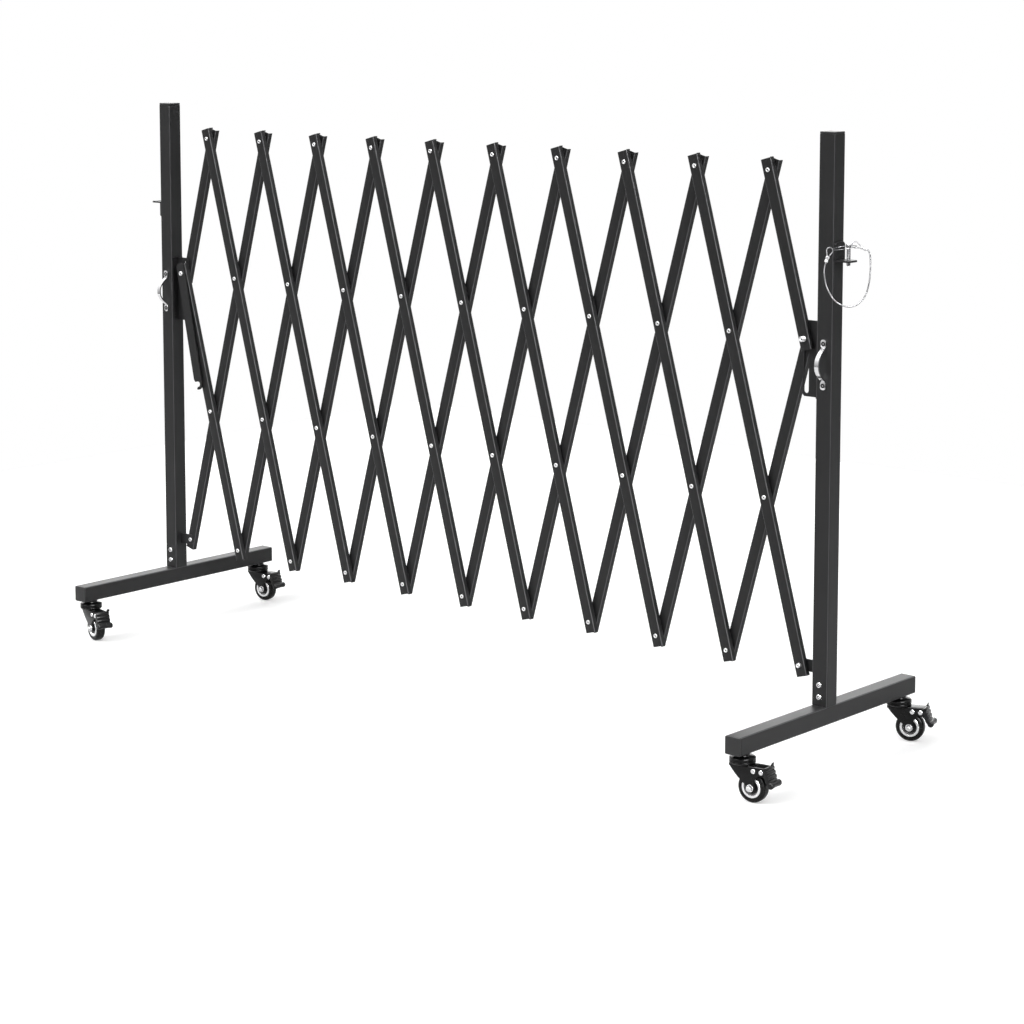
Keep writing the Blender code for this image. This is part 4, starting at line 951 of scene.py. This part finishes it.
def gloss_paint(name, colour):
    """Dipped gloss paint: nearly even black, a soft orange peel, and thin dust dulling the gloss."""
    finish = Finish(name)
    where = finish.place()
    peel = finish.noise(where, scale=420.0)
    specks = finish.noise(where, scale=55.0, detail=5.0, roughness=0.65)
    dust = finish.ramp(specks, low=0.52, high=0.80)
    tone = finish.mix(dust * 0.3, colour, CASTER_DUST)
    return finish.shade(Base_Color=tone, Roughness=dust * 0.18 + peel * 0.06 + 0.10,
                        Specular_IOR_Level=PAINT_GLOSS,
                        Normal=finish.bump(peel, strength=0.10, distance=GRAIN_DEPTH))


def caster_place(corner):
    """Where a caster's swivel axis meets the foot, turned to its trail."""
    end, side = corner.split("_")
    seat = Matrix.Translation((POSTS[side], -STEM_REACH if end == "front" else STEM_REACH, FOOT_BELOW))
    return seat @ Matrix.Rotation(math.radians(CASTER_TURNS[corner]), 4, "Z")


caster_gloss = gloss_paint("caster_gloss", CASTER_BLACK)
race_profile = [(0, STEM_RISE), (STEM, STEM_RISE), (STEM, -PART_GAP), (RACE_NECK - RACE_LIP, -PART_GAP)]
race_profile += arc((RACE_NECK - RACE_LIP, -PART_GAP - RACE_LIP), RACE_LIP, 90, 0, 4)
race_profile += arc((RACE_NECK + RACE_FILLET, -RACE_FILLET), RACE_FILLET, 180, 235, 4)
race_profile += arc((RACE - 2 * RACE_LIP, RACE_TOP - RACE_LIP), 2 * RACE_LIP, 65, 0, 5)
race_profile += [(RACE - sunk, GROOVE_TOP - GROOVE_STEP * step)
                 for step, sunk in enumerate((0, RACE_GROOVE, RACE_GROOVE, 0))]
race_profile += arc((RACE - RACE_LIP, RACE_BOTTOM + RACE_LIP), RACE_LIP, 0, -90, 4)
race_profile += [(KING_PIN, RACE_BOTTOM), (KING_PIN, KING_SEAT), (KING_HEAD, KING_SEAT)]
race_profile += arc((KING_HEAD - RACE_LIP, KING_FOOT + RACE_LIP), RACE_LIP, 0, -90, 4)
race_profile += [(0, KING_FOOT)]
for corner in CASTER_TURNS:
    race = gathered([(spun(race_profile, RACE_SIDES), caster_place(corner))])
    piece(f"caster_race_{corner}", race, caster_gloss, f"{corner.split('_')[1]}_post",
          [f"caster_cap_{corner}"])


# Caster forks: one pressed steel sheet each, with the lower race on its crown, the crown's edges bent over a
# radius into two side plates that narrow to the axle, and a lobe in front for the brake's rivets.
CROWN = -0.0211
CROWN_BACK = -0.0232
CROWN_FRONT = 0.057
PLATE = 0.0025
PLATE_INNER = 0.01255
PLATE_OUTER = PLATE_INNER + PLATE
PLATE_BEND = 0.0035
SHEET_EDGE = 0.0005
CROWN_EASE = 0.0018
TRAIL = 0.026
AXLE_DROP = -0.0665
FORK_BOSS = 0.0105
FORK_LOBE = 0.009
RIVET_DROP = -0.031
RIVET_PLACES = (0.0325, 0.0505)
BACK_BELLY = (TRAIL - 0.0345, AXLE_DROP + 0.0235)
FRONT_WAIST = (TRAIL + 0.0085, AXLE_DROP + 0.017)
BELLY_REACH = 0.015
WAIST_REACH = 0.006


def softened(before, corner, after, reach, steps=6):
    """A corner of an outline drawn out into a smooth bend that starts a reach before it."""
    before, corner, after = Vector(before), Vector(corner), Vector(after)
    start = corner + (before - corner).normalized() * reach
    end = corner + (after - corner).normalized() * reach
    bend = []
    for step in range(steps + 1):
        t = step / steps
        bend.append(tuple(start * (1 - t) ** 2 + corner * 2 * t * (1 - t) + end * t ** 2))
    return bend


def side_plate(start, end):
    """A side of the fork, from the crown down round the axle and up round the brake's rivets."""
    top = CROWN - PLATE_BEND
    boss = arc((TRAIL, AXLE_DROP), FORK_BOSS, 160, 380, 20)
    lobe = arc((RIVET_PLACES[1], RIVET_DROP), FORK_LOBE, -120, 30, 12)
    outline = [(CROWN_FRONT, top), (CROWN_BACK, top)]
    outline += softened(outline[1], BACK_BELLY, boss[0], BELLY_REACH) + boss
    outline += softened(boss[-1], FRONT_WAIST, lobe[0], WAIST_REACH) + lobe
    return raised(outline, start, end, SHEET_EDGE)


def fork_crown():
    """The crown with its bent edges, drawn across and raised along X."""
    hem = CROWN - PLATE_BEND - 2 * SHEET_EDGE
    outer = [(PLATE_OUTER, hem)]
    outer += arc((PLATE_OUTER - PLATE_BEND, CROWN - PLATE_BEND), PLATE_BEND, 0, 90, 6)
    outer += arc((PLATE_BEND - PLATE_OUTER, CROWN - PLATE_BEND), PLATE_BEND, 90, 180, 6)
    outer += [(-PLATE_OUTER, hem)]
    inner = [(-x * PLATE_INNER / PLATE_OUTER, z - PLATE) for x, z in outer]
    return raised(outer + inner, CROWN_BACK, CROWN_FRONT, SHEET_EDGE)


ALONG_X = Matrix(((0, 0, 1, 0), (1, 0, 0, 0), (0, 1, 0, 0), (0, 0, 0, 1)))
lower_race = [(0, RACE_BOTTOM - PART_GAP), (RACE - RACE_LIP, RACE_BOTTOM - PART_GAP)]
lower_race += arc((RACE - RACE_LIP, RACE_BOTTOM - PART_GAP - RACE_LIP), RACE_LIP, 90, 0, 4)
lower_race += [(RACE, CROWN + CROWN_EASE), (RACE - CROWN_EASE, CROWN)]
lower_race += [(RACE - CROWN_EASE, CROWN - SHEET_EDGE), (0, CROWN - SHEET_EDGE)]
for corner in CASTER_TURNS:
    place = caster_place(corner)
    parts = [(spun(lower_race, RACE_SIDES), place), (fork_crown(), place @ ALONG_X)]
    parts += [(side_plate(PLATE_INNER, PLATE_OUTER), place @ TO_FRONT)]
    parts += [(side_plate(-PLATE_OUTER, -PLATE_INNER), place @ TO_FRONT)]
    body = f"caster_fork_{corner}"
    piece(f"caster_bracket_{corner}", gathered(parts), caster_gloss, body, [body])


# Caster axles and rivets: a plated hex bolt and nut through the fork, on round washers, and two domed rivets
# that hold the brake inside the fork's lobe.
CASTER_STEEL = (0.80, 0.80, 0.81, 1)
NUT = 0.007
NUT_HEIGHT = 0.0052
NUT_EDGE = 0.0006
AXLE = 0.0038
AXLE_TOP = NUT_HEIGHT + 0.0015
AXLE_EASE = 0.0008
AXLE_CROWN = 0.0006
WASHER = 0.0078
WASHER_HEIGHT = 0.0007
BRAKE_RIVET = 0.0052
BRAKE_RIVET_HEIGHT = 0.002


def hex_nut():
    """A nut with eased edges, on its washer."""
    shape = bmesh.new()
    bmesh.ops.create_cone(shape, cap_ends=True, segments=6, radius1=NUT, radius2=NUT, depth=NUT_HEIGHT)
    bmesh.ops.translate(shape, verts=shape.verts, vec=(0, 0, NUT_HEIGHT / 2 + WASHER_HEIGHT / 2))
    ease(shape, shape.edges[:], NUT_EDGE, segments=2)
    return shape


caster_steel = bright_metal("caster_steel", CASTER_STEEL, roughness=0.22, metallic=0.9)
axle_profile = [(0, 0), (AXLE, 0), (AXLE, AXLE_TOP), (AXLE - AXLE_EASE, AXLE_TOP + AXLE_CROWN)]
axle_profile += [(0, AXLE_TOP + AXLE_CROWN)]
washer_profile = [(0, 0), (WASHER, 0), (WASHER, WASHER_HEIGHT), (0, WASHER_HEIGHT)]
dome = [(x * BRAKE_RIVET, z * BRAKE_RIVET_HEIGHT) for x, z in arc((0, 0), 1, 90, 0, 7)] + [(0, 0)]
for corner in CASTER_TURNS:
    parts = []
    for flank, flip in ((-PLATE_OUTER, 0), (PLATE_OUTER, math.pi)):
        outwards = Matrix.Rotation(flip, 4, "Z") @ TO_FRONT
        outside = caster_place(corner) @ Matrix.Translation((TRAIL, flank, AXLE_DROP)) @ outwards
        parts += [(hex_nut(), outside), (spun(axle_profile), outside), (spun(washer_profile), outside)]
        for along in RIVET_PLACES:
            seat = caster_place(corner) @ Matrix.Translation((along, flank, RIVET_DROP))
            parts.append((spun(dome), seat @ outwards))
    piece(f"caster_axle_{corner}", gathered(parts), caster_steel, f"caster_fork_{corner}")


# Caster wheels: a glossy black tyre moulded over a black core, with a bright ring pressed into each side
# round the sunken web, and the hub standing out to the fork.
RUBBER_BLACK = (0.005, 0.005, 0.005, 1)
RUBBER_SCUFF = (0.022, 0.022, 0.0215, 1)
CORE_BLACK = (0.008, 0.008, 0.0083, 1)
RIM_STEEL = (0.84, 0.84, 0.85, 1)
WHEEL = 0.0315
WHEEL_HALF = 0.011
WHEEL_SIDES = 64
TYRE_ROUND = 0.0062
TYRE_SEAT = 0.0220
TYRE_LAP = 0.0015
TYRE_LIP = 0.0012
TYRE_LIP_REACH = 0.0030
TYRE_SINK = 0.0004
RIM_OUTER = 0.0214
RIM_INNER = 0.0160
RIM_FOOT = 0.0140
RIM_FACE = WHEEL_HALF - 0.0001
RIM_BACK = RIM_FACE - 0.0015
RIM_EDGE = 0.0005
RIM_WALL = 0.0008
WEB_FACE = WHEEL_HALF - 0.0062
CORE_FACE = WHEEL_HALF - 0.0014
HUB = 0.0088
HUB_HALF = 0.01225
HUB_EDGE = 0.0008
HUB_DRAFT = 0.0006
BORE = 0.0044


def scuffed_rubber():
    """Glossy black rubber with grey scuffs and a fine grain."""
    finish = Finish("tyre_rubber")
    where = finish.place()
    marks = finish.noise(where, scale=120.0, detail=4.0, roughness=0.6)
    scuff = finish.ramp(marks, low=0.45, high=0.75)
    tone = finish.mix(scuff * 0.5, RUBBER_BLACK, RUBBER_SCUFF)
    grain = finish.bump(finish.noise(where, scale=900.0), strength=0.12, distance=GRAIN_DEPTH)
    return finish.shade(Base_Color=tone, Roughness=scuff * 0.18 + 0.20, Specular_IOR_Level=PAINT_GLOSS,
                        Normal=grain)


def wheel_ring(profile):
    """A closed profile, spun about the axle."""
    return spun(profile + profile[:1], WHEEL_SIDES)


def both_sides(half_profile):
    """A ring about the axle from the half of its profile on one side."""
    return wheel_ring(half_profile + [(radius, -place) for radius, place in half_profile[::-1]])


tyre_rubber = scuffed_rubber()
wheel_core = moulded("wheel_core", CORE_BLACK, roughness=0.34)
ring_plate = bright_metal("ring_plate", RIM_STEEL, roughness=0.26, metallic=0.75)
tyre_half = [(TYRE_SEAT - TYRE_LAP, WHEEL_HALF - TYRE_LIP), (TYRE_SEAT, WHEEL_HALF - TYRE_SINK)]
tyre_half += arc((TYRE_SEAT + TYRE_LIP_REACH, WHEEL_HALF - TYRE_LIP), TYRE_LIP, 110, 60, 3)
tyre_half += arc((WHEEL - TYRE_ROUND, WHEEL_HALF - TYRE_ROUND), TYRE_ROUND, 78, 12, 10)
tyre_half += [(WHEEL, WHEEL_HALF / 4)]
core_half = [(BORE, HUB_HALF), (HUB - HUB_EDGE, HUB_HALF), (HUB, HUB_HALF - HUB_EDGE)]
core_half += [(HUB + HUB_DRAFT, WEB_FACE), (RIM_FOOT + PART_GAP, WEB_FACE)]
core_half += [(RIM_INNER + PART_GAP, CORE_FACE), (TYRE_SEAT, CORE_FACE)]
rim_profile = [(RIM_FOOT, WEB_FACE), (RIM_INNER, RIM_FACE - RIM_EDGE)]
rim_profile += [(RIM_INNER + RIM_EDGE, RIM_FACE), (RIM_OUTER - RIM_EDGE, RIM_FACE)]
rim_profile += [(RIM_OUTER, RIM_FACE - RIM_EDGE), (RIM_OUTER, RIM_BACK)]
rim_profile += [(RIM_INNER + RIM_WALL, RIM_BACK), (RIM_FOOT + RIM_WALL, WEB_FACE)]
for corner in CASTER_TURNS:
    body = f"caster_wheel_{corner}"
    axis = caster_place(corner) @ Matrix.Translation((TRAIL, 0, AXLE_DROP)) @ TO_FRONT
    other = axis @ Matrix.Rotation(math.pi, 4, "X")
    tyre = gathered([(both_sides(tyre_half), axis)])
    core = gathered([(both_sides(core_half), axis)])
    rims = gathered([(wheel_ring(rim_profile), place) for place in (axis, other)])
    piece(f"caster_tyre_{corner}", tyre, tyre_rubber, body, [body])
    piece(f"caster_core_{corner}", core, wheel_core, body)
    piece(f"caster_ring_{corner}", rims, ring_plate, body)


# Brake pedals: moulded black levers hung on the front rivets. Three rolls run across the tread for grip, a
# thick rolled lip flares out below for the toe, and a small ear stands up at one corner.
PEDAL_BLACK = (0.005, 0.005, 0.0052, 1)
PEDAL_HALF = 0.020
BODY_HALF = 0.0172
TREAD_TOP = (0.0100, 0.0108)
TREAD_FOOT = (0.0183, -0.0140)
TREAD_ROLLS = 3
ROLL_PROUD = 0.0022
ROLL_FULLNESS = 0.6
ROLL_STEPS = 6
LIP_CENTRE = (0.0232, -0.0226)
LIP_ROUND = 0.0070
LIP_WAIST = 0.0061
LIP_SIDES = 24
HEEL = (0.0115, -0.0175)
INSTEP = (0.0042, 0.0086)
CHEEK_OUTER = 0.01225
CHEEK_INNER = 0.01065
CHEEK_ROUND = 0.0065
CHEEK_NOSE = 0.002
CHEEK_EDGE = 0.0003
EAR_RISE = 0.0046
EAR_WIDTH = 0.007
EAR_THICK = 0.0042
PEDAL_EDGE = 0.0008


def tread():
    """The lever's section, raised across the pedal: rolls down its face, and a web out to the lip."""
    top, foot = Vector(TREAD_TOP), Vector(TREAD_FOOT)
    run = foot - top
    out = Vector((-run.y, run.x)).normalized()
    outline = [INSTEP]
    for step in range(TREAD_ROLLS * ROLL_STEPS + 1):
        share = step / (TREAD_ROLLS * ROLL_STEPS)
        proud = ROLL_PROUD * abs(math.sin(math.pi * TREAD_ROLLS * share)) ** ROLL_FULLNESS
        outline.append(tuple(top + run * share + out * proud))
    outline.append((LIP_CENTRE[0], LIP_CENTRE[1] + LIP_ROUND / 2))
    outline.append((LIP_CENTRE[0] - LIP_ROUND / 2, LIP_CENTRE[1] - LIP_WAIST))
    outline.append(HEEL)
    return raised(outline, -BODY_HALF, BODY_HALF, PEDAL_EDGE / 2)


def pedal_lip():
    """A bar across the pedal with rounded ends and a slight waist."""
    rounding = LIP_ROUND / 2
    end = PEDAL_HALF - rounding
    profile = [(0, -PEDAL_HALF)] + arc((LIP_ROUND - rounding, -end), rounding, -90, 0, 5)
    profile += [(LIP_WAIST, -PEDAL_HALF / 3), (LIP_WAIST, PEDAL_HALF / 3)]
    profile += arc((LIP_ROUND - rounding, end), rounding, 0, 90, 5) + [(0, PEDAL_HALF)]
    return spun(profile, LIP_SIDES)


def cheek(start, end):
    """A side of the lever, round the hinge and down to the heel."""
    outline = [(TREAD_TOP[0], TREAD_TOP[1] - PEDAL_EDGE), (CHEEK_NOSE, CHEEK_ROUND)]
    outline += arc((0, 0), CHEEK_ROUND, 110, 270, 12)
    outline += [(HEEL[0], HEEL[1] + PEDAL_EDGE)]
    return raised(outline, start, end, CHEEK_EDGE)


def ear():
    """The small ear at the pedal's corner, which stands up from the tread."""
    back = TREAD_TOP[0] - EAR_THICK
    low = TREAD_TOP[1] - 2 * PEDAL_EDGE
    outline = [(back, low), (TREAD_TOP[0], low), (TREAD_TOP[0] + PEDAL_EDGE, TREAD_TOP[1] + EAR_RISE)]
    outline.append((TREAD_TOP[0] - PEDAL_EDGE, TREAD_TOP[1] + EAR_RISE))
    return raised(outline, -PEDAL_HALF, EAR_WIDTH - PEDAL_HALF, PEDAL_EDGE / 2)


pedal_plastic = moulded("pedal_plastic", PEDAL_BLACK, roughness=0.24)
for corner in CASTER_TURNS:
    body = f"caster_pedal_{corner}"
    hinge = caster_place(corner) @ Matrix.Translation((RIVET_PLACES[1], 0, RIVET_DROP)) @ TO_FRONT
    parts = [(tread(), hinge), (ear(), hinge), (pedal_lip(), hinge @ Matrix.Translation((*LIP_CENTRE, 0)))]
    parts += [(cheek(CHEEK_INNER, CHEEK_OUTER), hinge), (cheek(-CHEEK_OUTER, -CHEEK_INNER), hinge)]
    piece(f"caster_lever_{corner}", gathered(parts), pedal_plastic, body, [body])
